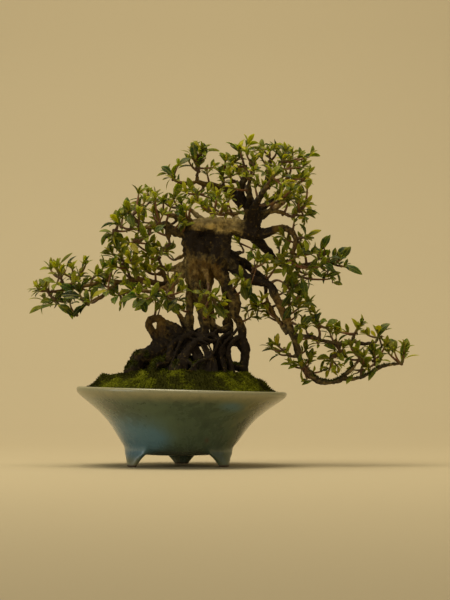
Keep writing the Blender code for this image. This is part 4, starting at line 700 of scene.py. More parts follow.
class Recipe:
    """The node graph of one finish, with a Principled shader at its end."""

    def __init__(self, name: str, **uniform: object) -> None:
        """Make the material.

        Args:
            name: Its name.
            **uniform: Values of the shader's own sockets, spaces as underscores.
        """
        self.material = bpy.data.materials.new(name)
        self.material.use_nodes = True
        self.tree = self.material.node_tree
        self.tree.nodes.clear()
        self.shader = self.tree.nodes.new("ShaderNodeBsdfPrincipled")
        output = self.tree.nodes.new("ShaderNodeOutputMaterial")
        self.tree.links.new(self.shader.outputs[0], output.inputs[0])
        for key, value in uniform.items():
            self.shader.inputs[key.replace("_", " ")].default_value = value

    def add(self, kind: str, settings: dict[str, object] | None = None,
            inputs: dict[object, object] | None = None, output: object = 0) -> Signal:
        """Add a node.

        Args:
            kind: The node's type.
            settings: Its properties; a ramp's stops under "stops".
            inputs: Values or signals by socket.
            output: The wanted output socket.

        Returns:
            That output.
        """
        node = self.tree.nodes.new(kind)
        for key, value in (settings or {}).items():
            if key == "stops":
                self._stops(node.color_ramp, value)
            else:
                setattr(node, key, value)
        for key, value in (inputs or {}).items():
            if isinstance(value, Signal):
                self.tree.links.new(value.socket, node.inputs[key])
            elif isinstance(value, tuple) and len(value) == 3 and node.inputs[key].type == "RGBA":
                node.inputs[key].default_value = (*value, 1.0)
            else:
                node.inputs[key].default_value = value
        return Signal(self, node.outputs[output])

    def _stops(self, ramp: bpy.types.ColorRamp, stops: Sequence) -> None:
        """Set a ramp's stops."""
        while len(ramp.elements) < len(stops):
            ramp.elements.new(0.5)
        for element, (place, colour) in zip(ramp.elements, stops):
            element.position = place
            element.color = (*colour, 1.0)

    def place(self) -> Signal:
        """Return the Object coordinates."""
        return self.add("ShaderNodeTexCoord", output="Object")

    def scaled(self, scale: tuple[float, float, float]) -> Signal:
        """Return the Object coordinates stretched by a scale."""
        return self.add("ShaderNodeMapping", {}, {"Vector": self.place(), "Scale": scale})

    def noise(self, scale: float, detail: float = 3.0, roughness: float = 0.55,
              vector: Signal | None = None) -> Signal:
        """Return a noise pattern, its cells about 1/scale metres wide."""
        inputs = {"Vector": vector or self.place(), "Scale": scale, "Detail": detail,
                  "Roughness": roughness}
        return self.add("ShaderNodeTexNoise", {}, inputs)

    def cells(self, scale: float, vector: Signal | None = None, feature: str = "F1") -> Signal:
        """Return the distance of a cell pattern."""
        inputs = {"Vector": vector or self.place(), "Scale": scale}
        return self.add("ShaderNodeTexVoronoi", {"feature": feature}, inputs, "Distance")

    def axis(self, number: int) -> Signal:
        """Return one Object coordinate: 0, 1 or 2 for X, Y or Z."""
        return self.add("ShaderNodeSeparateXYZ", {}, {0: self.place()}, number)

    def stored(self, name: str, channel: int) -> Signal:
        """Return one channel of a stored colour."""
        colour = self.add("ShaderNodeAttribute", {"attribute_name": name}, {}, "Color")
        return self.add("ShaderNodeSeparateColor", {}, {0: colour}, channel)

    def mix(self, share: object, low: object, high: object) -> Signal:
        """Return a colour between two."""
        settings = {"data_type": "RGBA"}
        return self.add("ShaderNodeMix", settings, {0: share, 6: low, 7: high}, 2)

    def ramp(self, value: Signal, stops: Sequence) -> Signal:
        """Return a colour by a ramp's stops."""
        return self.add("ShaderNodeValToRGB", {"stops": stops}, {0: value})

    def feed(self, name: str, signal: Signal) -> None:
        """Link a signal to one of the shader's sockets."""
        self.tree.links.new(signal.socket, self.shader.inputs[name])

    def bump(self, height: Signal, distance: float, strength: float = 1.0) -> None:
        """Raise the surface by a height pattern, in metres at a height of one."""
        inputs = {"Height": height, "Distance": distance, "Strength": strength}
        self.feed("Normal", self.add("ShaderNodeBump", {}, inputs, "Normal"))


def tint(red: int, green: int, blue: int) -> tuple[float, float, float]:
    """Turn a screen colour of 0 to 255 into a scene colour."""
    def channel(value: int) -> float:
        """Return one channel."""
        share = value / 255.0
        return share / 12.92 if share <= 0.04045 else ((share + 0.055) / 1.055) ** 2.4
    return channel(red), channel(green), channel(blue)


@dataclass(frozen=True)
class CeladonGlaze:
    """Mottled grey-green glaze, bluer low on the left and more olive on the right, thin and buff at rim and
    edges; the left blue is partly a painted cool reflection, the right olive partly painted warm light and
    the buffer left feet a painted highlight.
    """

    body: tuple[float, float, float] = tint(88, 106, 82)
    deep: tuple[float, float, float] = tint(62, 76, 58)
    blue: tuple[float, float, float] = tint(86, 122, 134)
    olive: tuple[float, float, float] = tint(138, 131, 78)
    buff: tuple[float, float, float] = tint(142, 138, 102)
    clay: tuple[float, float, float] = tint(84, 62, 44)

    def make(self) -> bpy.types.Material:
        """Return the material; it reads the attribute 'glaze': rim and feet (the left feet with a painted
        highlight), blue pool (partly a painted cool reflection on the left), bare clay.
        """
        recipe = Recipe("celadon_glaze", IOR=1.5, Specular_IOR_Level=0.5, Coat_Roughness=0.12)
        rim = recipe.stored("glaze", 0)
        pool = recipe.stored("glaze", 1)
        bare = recipe.stored("glaze", 2)
        cloud = recipe.noise(38.0, 4.0, 0.6)
        runs = recipe.noise(1.0, 4.0, 0.65, recipe.scaled((190.0, 190.0, 34.0)))
        grain = recipe.noise(900.0, 2.0, 0.6)
        mottle = (cloud * 0.6 + runs * 0.4).between(0.34, 0.66)
        colour = recipe.mix(mottle, self.deep, self.body)
        drift = recipe.noise(16.0, 3.0, 0.6)
        # More olive towards the right: partly glaze colour, partly painted warm light from the right.
        warm = ((recipe.axis(0) + 0.02) * 16.0).between(0.1, 1.0) * 0.85 + drift * 0.6
        colour = recipe.mix((warm * (0.3 + runs)).between(0.3, 0.95) * 0.8, colour, self.olive)
        # Bluer where the glaze pools, low on the left: partly pooled glaze, partly a painted cool reflection
        # of the left light.
        pooled_blue_and_reflection = (pool * (0.55 + runs * 0.9) * (0.4 + cloud)).between(0.08, 0.62)
        colour = recipe.mix(pooled_blue_and_reflection, colour, self.blue)
        # Buff at the thin rim and at the feet; the stronger buff on the left feet is a painted highlight.
        edge = (rim * (0.62 + runs * 0.7)).between(0.2, 1.0)
        colour = recipe.mix(edge, colour, self.buff)
        speck = 1.0 - recipe.cells(95.0).between(0.035, 0.075)
        colour = recipe.mix(speck * 0.55, colour, self.clay)
        colour = recipe.mix((grain - 0.5).between(0.06, 0.2) * 0.25, colour, self.deep)
        colour = recipe.mix(bare, colour, self.clay)
        recipe.feed("Base Color", colour)
        recipe.feed("Roughness", 0.22 + mottle * 0.1 + edge * 0.14 + bare * 0.5)
        recipe.feed("Coat Weight", 0.5 - bare * 0.5)
        ripples = recipe.noise(110.0, 2.0, 0.5)
        recipe.bump(cloud * 0.5 + ripples * 0.35 + grain * 0.06, 0.0009, 0.5)
        return recipe.material


@dataclass(frozen=True)
class AzaleaBark:
    """Fibrous dark bark, paler and smoother on the level limb, green at the foot, with a painted top light
    on the level limb and painted shade in the hollow, the crown, the bend and on the roots.
    """

    dark: tuple[float, float, float] = tint(36, 27, 16)
    warm: tuple[float, float, float] = tint(104, 84, 38)
    rust: tuple[float, float, float] = tint(116, 84, 26)
    pale: tuple[float, float, float] = tint(200, 174, 104)
    grey: tuple[float, float, float] = tint(150, 132, 84)
    moss: tuple[float, float, float] = tint(64, 70, 20)

    def make(self) -> bpy.types.Material:
        """Return the material; it reads 'bark' (pale with a painted top light, mossy, raised) and 'grain'
        (fibre, painted shade, warm).
        """
        recipe = Recipe("azalea_bark", Specular_IOR_Level=0.25)
        pale = recipe.stored("bark", 0)
        mossy = recipe.stored("bark", 1)
        raised = recipe.stored("bark", 2)
        fibre = recipe.stored("grain", 0)
        painted_shade = recipe.stored("grain", 1)
        rusty = recipe.stored("grain", 2)
        cloud = recipe.noise(120.0, 4.0, 0.6)
        flake = recipe.noise(620.0, 3.0, 0.65)
        mottle = recipe.noise(300.0, 3.0, 0.6).between(0.38, 0.66)
        # Raised bark is lighter and its crevices darker: partly bark colour, partly painted shade in the
        # crevices.
        light = raised * 0.5 + cloud * 0.3 + fibre * 0.3 + flake * 0.25 + mottle * 0.25 - 0.36
        fleck = recipe.noise(430.0, 4.0, 0.75).between(0.5, 0.66)
        # Painted shade darkens the hollow under the level limb, the trunk in the crown, the cascade's bend
        # and the roots; the brown flecks there are partly bark colour and partly painted highlights on lit
        # flakes.
        light = light - painted_shade * 0.44 + fleck * (0.08 + painted_shade * 0.42)
        colour = recipe.mix(light.between(0.2, 0.85), self.dark, self.warm)
        colour = recipe.mix((rusty * (0.3 + flake) * (1.0 - painted_shade)).between(0.3, 0.8) * 0.6, colour, self.rust)
        # The pale, bleached bark of the level limb carries its painted top light.
        pale_bark_and_toplight = (pale * (0.1 + cloud * 0.5 + flake * 0.35 + mottle * 0.4 + fibre * 0.4)).between(0.15, 0.9)
        bleached = recipe.mix(recipe.noise(150.0, 3.0, 0.6).between(0.4, 0.62), self.grey, self.pale)
        colour = recipe.mix(pale_bark_and_toplight, colour, bleached)
        stain = recipe.noise(75.0, 3.0, 0.6).between(0.55, 0.72) * 0.6
        colour = recipe.mix(stain, colour, self.dark)
        green = (mossy * (0.5 + flake)).between(0.35, 0.75)
        colour = recipe.mix(green, colour, self.moss)
        recipe.feed("Base Color", colour)
        recipe.feed("Roughness", 0.88 - pale_bark_and_toplight * 0.12 + green * 0.1)
        recipe.bump(flake * 0.6 + fibre * 0.5 + cloud * 0.3, 0.0007, 0.8)
        return recipe.material


@dataclass(frozen=True)
class ReddishTwig:
    """Thin reddish-brown shoots, greener towards the leaves."""

    wood: tuple[float, float, float] = tint(72, 54, 30)
    old: tuple[float, float, float] = tint(106, 72, 40)
    young: tuple[float, float, float] = tint(134, 90, 48)
    green: tuple[float, float, float] = tint(112, 112, 40)

    def make(self) -> bpy.types.Material:
        """Return the material; it reads 'twig': youth along the shoot."""
        recipe = Recipe("reddish_twig", Specular_IOR_Level=0.35)
        youth = recipe.stored("twig", 0)
        woody = recipe.stored("twig", 1)
        flake = recipe.noise(700.0, 3.0, 0.6)
        colour = recipe.mix(flake.between(0.3, 0.7), self.old, self.young)
        colour = recipe.mix(woody, colour, self.wood)
        colour = recipe.mix((youth * (0.6 + flake * 0.6)).between(0.5, 1.0), colour, self.green)
        recipe.feed("Base Color", colour)
        recipe.feed("Roughness", 0.7 - youth * 0.2)
        recipe.bump(flake, 0.0003, 0.6)
        return recipe.material


@dataclass(frozen=True)
class AzaleaLeaf:
    """Satin leaves: yellow-green when young, blue-green when old, with a paler midrib."""

    young: tuple[float, float, float] = tint(186, 173, 22)
    grown: tuple[float, float, float] = tint(121, 129, 4)
    old: tuple[float, float, float] = tint(55, 78, 21)
    rib: tuple[float, float, float] = tint(160, 158, 44)
    flush: tuple[float, float, float] = tint(140, 96, 50)

    def make(self) -> bpy.types.Material:
        """Return the material; 'tone' holds age, lightness and a red flush, the UV the veins."""
        recipe = Recipe("azalea_leaf", Specular_IOR_Level=0.22, Subsurface_Weight=0.35,
                        Subsurface_Scale=0.0016, Subsurface_Radius=(0.85, 1.0, 0.1))
        age = recipe.stored("tone", 0)
        light = recipe.stored("tone", 1)
        flush = recipe.stored("tone", 2)
        uv = recipe.add("ShaderNodeUVMap", {"uv_map": "leaf"})
        along = recipe.add("ShaderNodeSeparateXYZ", {}, {0: uv}, 0)
        across = recipe.add("ShaderNodeSeparateXYZ", {}, {0: uv}, 1)
        off = abs(across - 0.5) * 2.0
        midrib = 1.0 - off.between(0.05, 0.16)
        wave = recipe.add("ShaderNodeMath", {"operation": "SINE"}, {0: (along - off * 0.28) * 62.0})
        veins = wave.between(0.78, 0.98) * (1.0 - off.between(0.7, 1.0))
        blotch = recipe.noise(240.0, 3.0, 0.6)
        colour = recipe.mix(age.between(0.0, 0.55), self.young, self.grown)
        colour = recipe.mix(age.between(0.5, 1.0), colour, self.old)
        shade = recipe.mix(light, tint(84, 88, 60), tint(255, 255, 255))
        settings = {"data_type": "RGBA", "blend_type": "MULTIPLY"}
        colour = recipe.add("ShaderNodeMix", settings, {0: 1.0, 6: colour, 7: shade}, 2)
        colour = recipe.mix(blotch.between(0.5, 0.75) * 0.3, colour, self.young)
        colour = recipe.mix((midrib * 0.24).larger(veins * 0.07), colour, self.rib)
        colour = recipe.mix(flush * (0.35 + off * 0.5), colour, self.flush)
        recipe.feed("Base Color", colour)
        recipe.feed("Roughness", 0.5 - age * 0.14 + blotch * 0.12)
        recipe.bump(blotch * 0.3 - midrib * 0.6 - veins * 0.5, 0.00025, 0.7)
        return recipe.material


@dataclass(frozen=True)
class CushionMoss:
    """Short moss, olive with yellow-green tips and brown hollows."""

    low: tuple[float, float, float] = tint(38, 38, 2)
    mid: tuple[float, float, float] = tint(84, 88, 4)
    tip: tuple[float, float, float] = tint(140, 140, 40)
    brown: tuple[float, float, float] = tint(78, 60, 22)

    def make(self) -> bpy.types.Material:
        """Return the material; it reads 'moss': height on the cushion, patch, brown."""
        recipe = Recipe("green_moss", Specular_IOR_Level=0.06)
        raised = recipe.stored("moss", 0)
        patch = recipe.stored("moss", 1)
        brown = recipe.stored("moss", 2)
        grain = recipe.noise(900.0, 3.0, 0.7)
        fleck = recipe.cells(650.0)
        tuft = recipe.noise(260.0, 3.0, 0.65)
        light = raised * 0.5 + patch * 0.5 + grain * 0.7 + tuft * 0.7 - fleck * 0.35 - 0.66
        colour = recipe.mix(light.between(0.12, 0.62), self.low, self.mid)
        colour = recipe.mix(light.between(0.5, 1.0), colour, self.tip)
        colour = recipe.mix((brown * (0.4 + grain)).between(0.45, 0.8), colour, self.brown)
        recipe.feed("Base Color", colour)
        recipe.feed("Roughness", 0.95 - grain * 0.1)
        recipe.bump(grain - fleck * 0.8, 0.0009, 0.8)
        return recipe.material


@dataclass(frozen=True)
class PottingSoil:
    """Dark crumbly soil with paler grains."""

    dark: tuple[float, float, float] = tint(62, 48, 34)
    grain: tuple[float, float, float] = tint(142, 112, 76)

    def make(self) -> bpy.types.Material:
        """Return the material."""
        recipe = Recipe("potting_soil", Specular_IOR_Level=0.2)
        crumbs = recipe.cells(420.0)
        fine = recipe.noise(900.0, 3.0, 0.6)
        colour = recipe.mix(fine.between(0.35, 0.75), self.dark, self.grain)
        recipe.feed("Base Color", recipe.mix(crumbs.between(0.1, 0.5), colour, self.dark))
        recipe.feed("Roughness", 0.9 + fine * 0.08)
        recipe.bump(1.0 - crumbs, 0.0012, 0.9)
        return recipe.material


@dataclass(frozen=True)
class WovenScreen:
    """Black plastic mesh over the drain hole."""

    strand: tuple[float, float, float] = tint(34, 34, 32)
    gap_shade: tuple[float, float, float] = tint(8, 7, 6)

    def make(self) -> bpy.types.Material:
        """Return the material: a fine square weave, near black in the gaps as a painted shade of the hole
        beneath.
        """
        recipe = Recipe("screen_plastic", Specular_IOR_Level=0.4)
        weave = []
        for number in (0, 1):
            inputs = {0: recipe.axis(number) * 3600.0}
            wave = recipe.add("ShaderNodeMath", {"operation": "SINE"}, inputs)
            weave.append(abs(wave).between(0.2, 0.7))
        cover = 1.0 - weave[0] * weave[1]
        # Gaps near black: painted shade.
        recipe.feed("Base Color", recipe.mix(cover, self.gap_shade, self.strand))
        recipe.feed("Roughness", 0.75 - cover * 0.2)
        recipe.bump(cover, 0.0004, 0.8)
        return recipe.material


@dataclass(frozen=True)
class PalePaper:
    """The plain warm floor and backdrop."""

    colour: tuple[float, float, float] = tint(188, 174, 140)

    def make(self) -> bpy.types.Material:
        """Return the material."""
        recipe = Recipe("pale_paper", Specular_IOR_Level=0.1, Roughness=0.95)
        soft = recipe.noise(3.0, 2.0, 0.5)
        darker = tuple(c * 0.97 for c in self.colour)
        recipe.feed("Base Color", recipe.mix(soft, darker, self.colour))
        return recipe.material


@dataclass
class Limb:
    """A limb as a smooth run of places and radii in millimetres."""

    name: str
    points: np.ndarray
    radii: np.ndarray

    @classmethod
    def from_rows(cls, name: str, rows: Sequence, step: float = 1.1) -> "Limb":
        """Lay a smooth curve through a table's rows.

        Args:
            name: The limb's name.
            rows: Column, row, depth and radius in cells.
            step: Wanted length of a stretch in millimetres.

        Returns:
            The limb.
        """
        knots = [np.array([*spot(*row[:3]), row[3] * CELL]) for row in rows]
        knots = [2 * knots[0] - knots[1]] + knots + [2 * knots[-1] - knots[-2]]
        run = []
        for a, b, c, d in zip(knots, knots[1:], knots[2:], knots[3:]):
            count = max(2, int(np.linalg.norm(c[:3] - b[:3]) / step))
            for t in np.arange(count) / count:
                run.append(0.5 * (2 * b + (c - a) * t + (2 * a - 5 * b + 4 * c - d) * t ** 2
                                  + (3 * b - a - 3 * c + d) * t ** 3))
        run.append(knots[-2])
        run = np.array(run)
        return cls(name, run[:, :3], np.maximum(run[:, 3], 0.7))

    def direction(self, index: int) -> Vector:
        """Return the limb's direction at a place."""
        low = max(index - 1, 0)
        high = min(index + 1, len(self.points) - 1)
        return Vector(self.points[high] - self.points[low]).normalized()


def tubes(name: str, runs: Iterable[tuple[np.ndarray, np.ndarray]], rings: int) -> bpy.types.Object:
    """Make round closed tubes along runs of places, as one mesh.

    Args:
        name: Name of the piece.
        runs: Places and radii in millimetres.
        rings: Bevel resolution of the curve.

    Returns:
        The mesh object.
    """
    curve = bpy.data.curves.new(name, "CURVE")
    curve.dimensions = "3D"
    curve.bevel_depth = MM
    curve.bevel_resolution = rings
    curve.use_fill_caps = True
    for points, radii in runs:
        spline = curve.splines.new("POLY")
        spline.points.add(len(points) - 1)
        rows = np.ones((len(points), 4))
        rows[:, :3] = np.asarray(points) * MM
        spline.points.foreach_set("co", rows.ravel())
        spline.points.foreach_set("radius", np.asarray(radii, dtype=float))
    piece = bpy.data.objects.new(name, curve)
    bpy.context.scene.collection.objects.link(piece)
    hold(piece)
    bpy.ops.object.convert(target="MESH")
    return bpy.context.view_layer.objects.active


@dataclass
class Bowl:
    """The round flared bowl, turned in one with three tapering feet."""

    segments: int = 96
    outer: tuple = (
        (5.0, 7.2), (12.0, 6.5), (21.0, 6.7), (25.8, 7.6), (29.0, 8.9), (31.6, 10.2),
        (33.8, 12.0), (36.8, 15.8), (41.0, 22.8), (46.6, 29.5), (52.9, 34.9), (58.9, 39.3),
        (62.4, 41.9), (64.3, 43.6), (64.9, 45.3), (64.5, 46.7), (63.3, 47.2), (61.8, 46.6),
    )
    inner: tuple = (
        (60.2, 45.2), (58.6, 43.8), (52.0, 38.0), (44.0, 31.4), (36.0, 20.8), (31.4, 14.2),
        (27.0, 13.2), (5.0, 13.2),
    )
    foot_rings: tuple = (
        (7.9, 31.0, 12.4, 3.2), (6.6, 31.6, 10.2, 3.0), (5.0, 32.3, 8.2, 2.8), (3.0, 33.0, 6.4, 2.5),
        (1.2, 33.6, 5.0, 2.2), (0.0, 33.8, 4.3, 1.9),
    )
    foot_angles: tuple = (-35.0, 88.5, 213.0)
    foot_half_turn: float = 25.0

    def build(self) -> bpy.types.Object:
        """Build the bowl and dress it.

        Returns:
            The finished piece.
        """
        piece = self._turn()
        for degrees in self.foot_angles:
            self._draw_foot(piece, math.radians(degrees))
        apply_modifier(piece, "SUBSURF", levels=2, render_levels=2)
        points = read_points(piece.data)
        radius = np.hypot(points[:, 0], points[:, 1])
        height = points[:, 2].copy()
        self._paint(piece, points, radius, height)
        write_points(piece.data, lean(points))
        hold(piece)
        bpy.ops.object.shade_smooth()
        seat(piece, "celadon_glaze", CeladonGlaze().make(), "pot")
        return piece

    def _turn(self) -> bpy.types.Object:
        """Draw the wall from the drain hole round the rim and back, and close it."""
        profile = self.outer + self.inner
        rest_all()
        bpy.ops.mesh.primitive_circle_add(vertices=self.segments, radius=profile[0][0] * MM,
                                          location=(0.0, 0.0, profile[0][1] * MM))
        piece = bpy.context.object
        piece.name = piece.data.name = "glazed_bowl"
        bpy.ops.object.transform_apply(location=True)
        bpy.ops.object.mode_set(mode="EDIT")
        bpy.ops.mesh.select_mode(type="VERT")
        bpy.ops.mesh.select_all(action="SELECT")
        for (near, low), (far, high) in zip(profile, profile[1:]):
            rise = {"value": (0.0, 0.0, (high - low) * MM)}
            bpy.ops.mesh.extrude_region_move(TRANSFORM_OT_translate=rise)
            share = far / near
            bpy.ops.transform.resize(value=(share, share, 1.0), center_override=(0.0, 0.0, high * MM))
        bm = bmesh.from_edit_mesh(piece.data)
        for vert in bm.verts:
            vert.select = False
        for edge in bm.edges:
            edge.select = len(edge.link_faces) < 2
        bmesh.update_edit_mesh(piece.data)
        bpy.ops.mesh.select_mode(type="EDGE")
        bpy.ops.mesh.bridge_edge_loops()
        bpy.ops.mesh.select_all(action="SELECT")
        bpy.ops.mesh.normals_make_consistent(inside=False)
        bpy.ops.object.mode_set(mode="OBJECT")
        return piece

    def _draw_foot(self, piece: bpy.types.Object, angle: float) -> None:
        """Draw one foot out of the underside.

        Args:
            piece: The bowl.
            angle: Where the foot stands, about the bowl's axis.
        """
        hold(piece)
        bpy.ops.object.mode_set(mode="EDIT")
        bpy.ops.mesh.select_mode(type="FACE")
        bm = bmesh.from_edit_mesh(piece.data)
        out = Vector((math.cos(angle), math.sin(angle), 0.0))
        around = Vector((-out.y, out.x, 0.0))
        for face in bm.faces:
            centre = face.calc_center_median() / MM
            turn = abs(math.remainder(math.atan2(centre.y, centre.x) - angle, math.tau))
            reach = math.hypot(centre.x, centre.y)
            low = face.normal.z < -0.2 and centre.z < 12.4
            face.select_set(low and 25.8 < reach < 34.0 and turn < math.radians(self.foot_half_turn))
        bmesh.update_edit_mesh(piece.data)
        for height, distance, wide, deep in self.foot_rings:
            bpy.ops.mesh.extrude_region_move()
            bm = bmesh.from_edit_mesh(piece.data)
            moved = [v for v in bm.verts if v.select]
            middle = sum((v.co for v in moved), Vector()) / len(moved)
            across = max(abs((v.co - middle).dot(around)) for v in moved)
            outward = max(abs((v.co - middle).dot(out)) for v in moved)
            for vert in moved:
                side = (vert.co - middle).dot(around) / across
                front = (vert.co - middle).dot(out) / outward
                corner = math.hypot(side, front)
                if corner > 1.0:
                    side /= corner
                    front /= corner
                vert.co = (out * (distance + deep * front) + around * wide * side) * MM
                vert.co.z = height * MM
            bmesh.update_edit_mesh(piece.data)
        bpy.ops.object.mode_set(mode="OBJECT")

    def _paint(self, piece: bpy.types.Object, points: np.ndarray, radius: np.ndarray,
               height: np.ndarray) -> None:
        """Store where the glaze thins, pools and stops, with a painted cool reflection in the blue low on
        the left and a painted highlight on the left feet.
        """
        rim = np.clip((height - 36.0) / 9.0, 0.0, 1.0) * (radius > 53.0)
        low = np.clip((37.0 - height) / 20.0, 0.0, 1.0)
        # Blue low on the left and in a milky spot: partly pooled glaze, partly a painted cool reflection of
        # the left light.
        left = np.clip((4.0 - points[:, 0]) / 34.0, 0.0, 1.0)
        right = np.exp(-((points[:, 0] - 31.0) / 8.5) ** 2 - ((height - 37.2) / 4.0) ** 2)
        milky = np.exp(-((points[:, 0] + 21.0) / 11.0) ** 2 - ((height - 17.0) / 4.5) ** 2)
        pool = np.clip(low * left * 0.95 + right * 0.46 + milky * 0.5, 0.0, 1.0)
        pool *= np.clip((height - 1.0) / 10.0, 0.25, 1.0)
        tip = np.clip((1.6 - height) / 1.2, 0.0, 1.0)
        inside = (radius < 61.5) & (height > 13.1) & (height < 44.0)
        inside &= radius < np.interp(height, [13.2, 20.8, 31.4, 38.0, 43.8],
                                     [32.7, 37.3, 45.3, 53.3, 59.9])
        # Feet buff where the glaze thins; buffer on the left (0.85 against 0.5) as a painted highlight from
        # the left light.
        foot = np.clip((10.0 - height) / 9.0, 0.0, 1.0) * np.where(points[:, 0] < 0.0, 0.85, 0.5)
        chip = ((points[:, 0] - 17.0) ** 2 + (height - 16.4) ** 2) / 1.6
        chip = np.exp(-chip) * (points[:, 1] < 0.0) * 0.9
        bare = np.maximum(np.maximum(tip, inside * 0.9), chip)
        paint(piece.data, "glaze", np.stack([np.maximum(rim, foot), pool, bare], axis=1))


@dataclass
class TreeWood:
    """The tree's wood: twisting roots, the trunk, the level limb and the branches."""

    voxel: float = 0.5
    triangles: int = 170000
    limbs: dict[str, Limb] = field(default_factory=dict)

    def grow(self) -> None:
        """Lay out every limb."""
        for name, rows in {**LIMBS, **FINE_LIMBS}.items():
            self.limbs[name] = Limb.from_rows(name, rows)

    def build(self, stubs: Iterable[tuple[np.ndarray, np.ndarray]]) -> bpy.types.Object:
        """Join the limbs into one skin with bark.

        Args:
            stubs: Places and radii of the stubs that side shoots spring from.

        Returns:
            The finished piece.
        """
        rng = random.Random(4)
        runs = []
        for limb in self.limbs.values():
            phase = rng.uniform(0.0, 50.0)
            along = np.arange(len(limb.radii))
            swell = np.array([noise.noise(Vector((a * 0.16, phase, 0.0)))
                              + noise.noise(Vector((a * 0.47, phase, 7.0))) * 0.7 for a in along])
            runs.append((limb.points, limb.radii * (1.0 + 0.17 * swell)))
        piece = tubes("bark_of_the_tree", runs + list(stubs), 4)
        apply_modifier(piece, "REMESH", mode="VOXEL", voxel_size=self.voxel * MM)
        apply_modifier(piece, "SMOOTH", factor=0.5, iterations=3)
        faces = len(piece.data.polygons) * 2
        if faces > self.triangles:
            apply_modifier(piece, "DECIMATE", ratio=self.triangles / faces)
        self._roughen(piece)
        hold(piece)
        bpy.ops.object.shade_smooth()
        seat(piece, "azalea_bark", AzaleaBark().make(), "tree_wood")
        return piece

    def _roughen(self, piece: bpy.types.Object) -> None:
        """Raise fibres, knots and lumps, and store where the bark is pale (with a painted top light on the
        level limb), mossy or raised, and where painted shade falls.
        """
        names = list(self.limbs)
        total = sum(len(limb.points) for limb in self.limbs.values())
        tree = kdtree.KDTree(total)
        rows = []
        for number, name in enumerate(names):
            limb = self.limbs[name]
            length = 0.0
            side = square_to(limb.direction(0))[0]
            for index, point in enumerate(limb.points):
                if index:
                    length += float(np.linalg.norm(point - limb.points[index - 1]))
                tangent = limb.direction(index)
                side = (side - tangent * side.dot(tangent)).normalized()
                tree.insert(Vector(point), len(rows))
                rows.append((number, length, side.copy(), tangent, limb.radii[index]))
        tree.balance()
        points = read_points(piece.data)
        normals = read_normals(piece.data)
        bark = np.zeros((len(points), 3))
        grain = np.zeros((len(points), 3))
        for index, (point, normal) in enumerate(zip(points, normals)):
            here = Vector(point)
            near, row, away = tree.find(here)
            number, length, side, tangent, radius = rows[row]
            arm = here - near
            angle = math.atan2(arm.dot(tangent.cross(side)), arm.dot(side))
            ring = Vector((math.cos(angle) * 1.7, math.sin(angle) * 1.7,
                           (length + angle * radius * 0.5) * 0.075 + number * 17.0))
            fibre = 1.0 - abs(noise.noise(ring * 1.6)) * 2.2
            knots = noise.noise(here * 0.16 + Vector((number * 3.0, 0.0, 0.0)))
            fine = noise.noise(here * 0.9)
            size = max(min(radius, 6.0), min(radius * 1.6, 2.6))
            lump = 0.55 - abs(noise.noise(here * 0.36 + Vector((number, 0.0, 0.0)))) * 2.6
            lift = fibre * 0.1 * size + knots * 0.22 * size + lump * 0.17 * size
            lift += fine * 0.09 * min(size, 3.0)
            points[index] = point + normal * (lift - 0.02 * size)
            # How raised the bark is; the material paints the crevices darker, partly as painted shade.
            bark[index, 2] = min(max(0.45 + fibre * 0.25 + fine * 0.3 + lump * 0.3, 0.0), 1.0)
            grain[index, 0] = min(max(0.5 + 0.5 * noise.noise(ring * 4.0), 0.0), 1.0)
            # Channel 1 of 'grain' holds painted shade, channel 2 warm bark; channel 0 of 'bark' the pale
            # bark with its painted top light.
            bark[index, 0], bark[index, 1], grain[index, 1], grain[index, 2] = self._wear(
                here, Vector(normal), radius)
            if grain[index, 1] > 0.3 and radius > 4.0:
                points[index] -= normal * (0.5 + lump) * grain[index, 1] * 1.1
        write_points(piece.data, points)
        paint(piece.data, "bark", bark)
        paint(piece.data, "grain", grain)

    def _wear(self, place: Vector, normal: Vector,
              radius: float) -> tuple[float, float, float, float]:
        """Return how pale (with a painted top light and painted highlights), mossy, darkened by painted
        shade and warm the bark is at a place.
        """
        column = (place.x - SHIFT_X) / CELL + AXIS_COLUMN
        row = FLOOR_ROW - place.z / CELL
        wave = noise.noise(place * 0.22) * 2.4
        under = 100.5 + (column - 228.0) * 0.16
        log = patch(column, 226.0, 400.0, 4.0)
        log *= patch(column, 200.0, 266.5 - ((row - 97.0) / 5.0) ** 2 + wave, 10.0)
        log *= patch(row + wave * 0.5, 84.0, under, 4.6)
        spots = noise.noise(place * 0.3) * 0.9 + noise.noise(place * 0.8) * 0.4
        # Paler on top (normal.z) and towards the front (normal.y) of the level limb: a painted top light on
        # the pale bark.
        pale = log * min(max(0.78 - 0.16 * patch(column, 248.0, 400.0, 9.0) + normal.z * 0.34 - normal.y * 0.14 + spots * 0.6, 0.0), 1.0)
        right_edge = 245.0 + 19.0 * patch(row, 136.0, 200.0, 10.0) + wave
        trunk = patch(column, 220.0, right_edge, 3.0) * patch(row + wave * 2.5, 116.0, 180.0, 9.0)
        left = patch(column, 207.0, 222.5, 2.0) * patch(row, 120.0, 160.0, 5.0)
        hanging = patch(column, 288.0, 400.0, 8.0) * patch(row, 146.0, 230.0, 8.0)
        slim = min(max(1.9 - radius * 0.6, 0.0), 1.0) * (1.0 if row < 170.0 else 0.0)
        pale = max(pale, trunk * (0.34 if column < 246.0 else 0.3), left * 0.6, hanging * 0.38,
                   slim * 0.32)
        blot = wave * 1.6 + noise.noise(place * 0.55) * 5.0
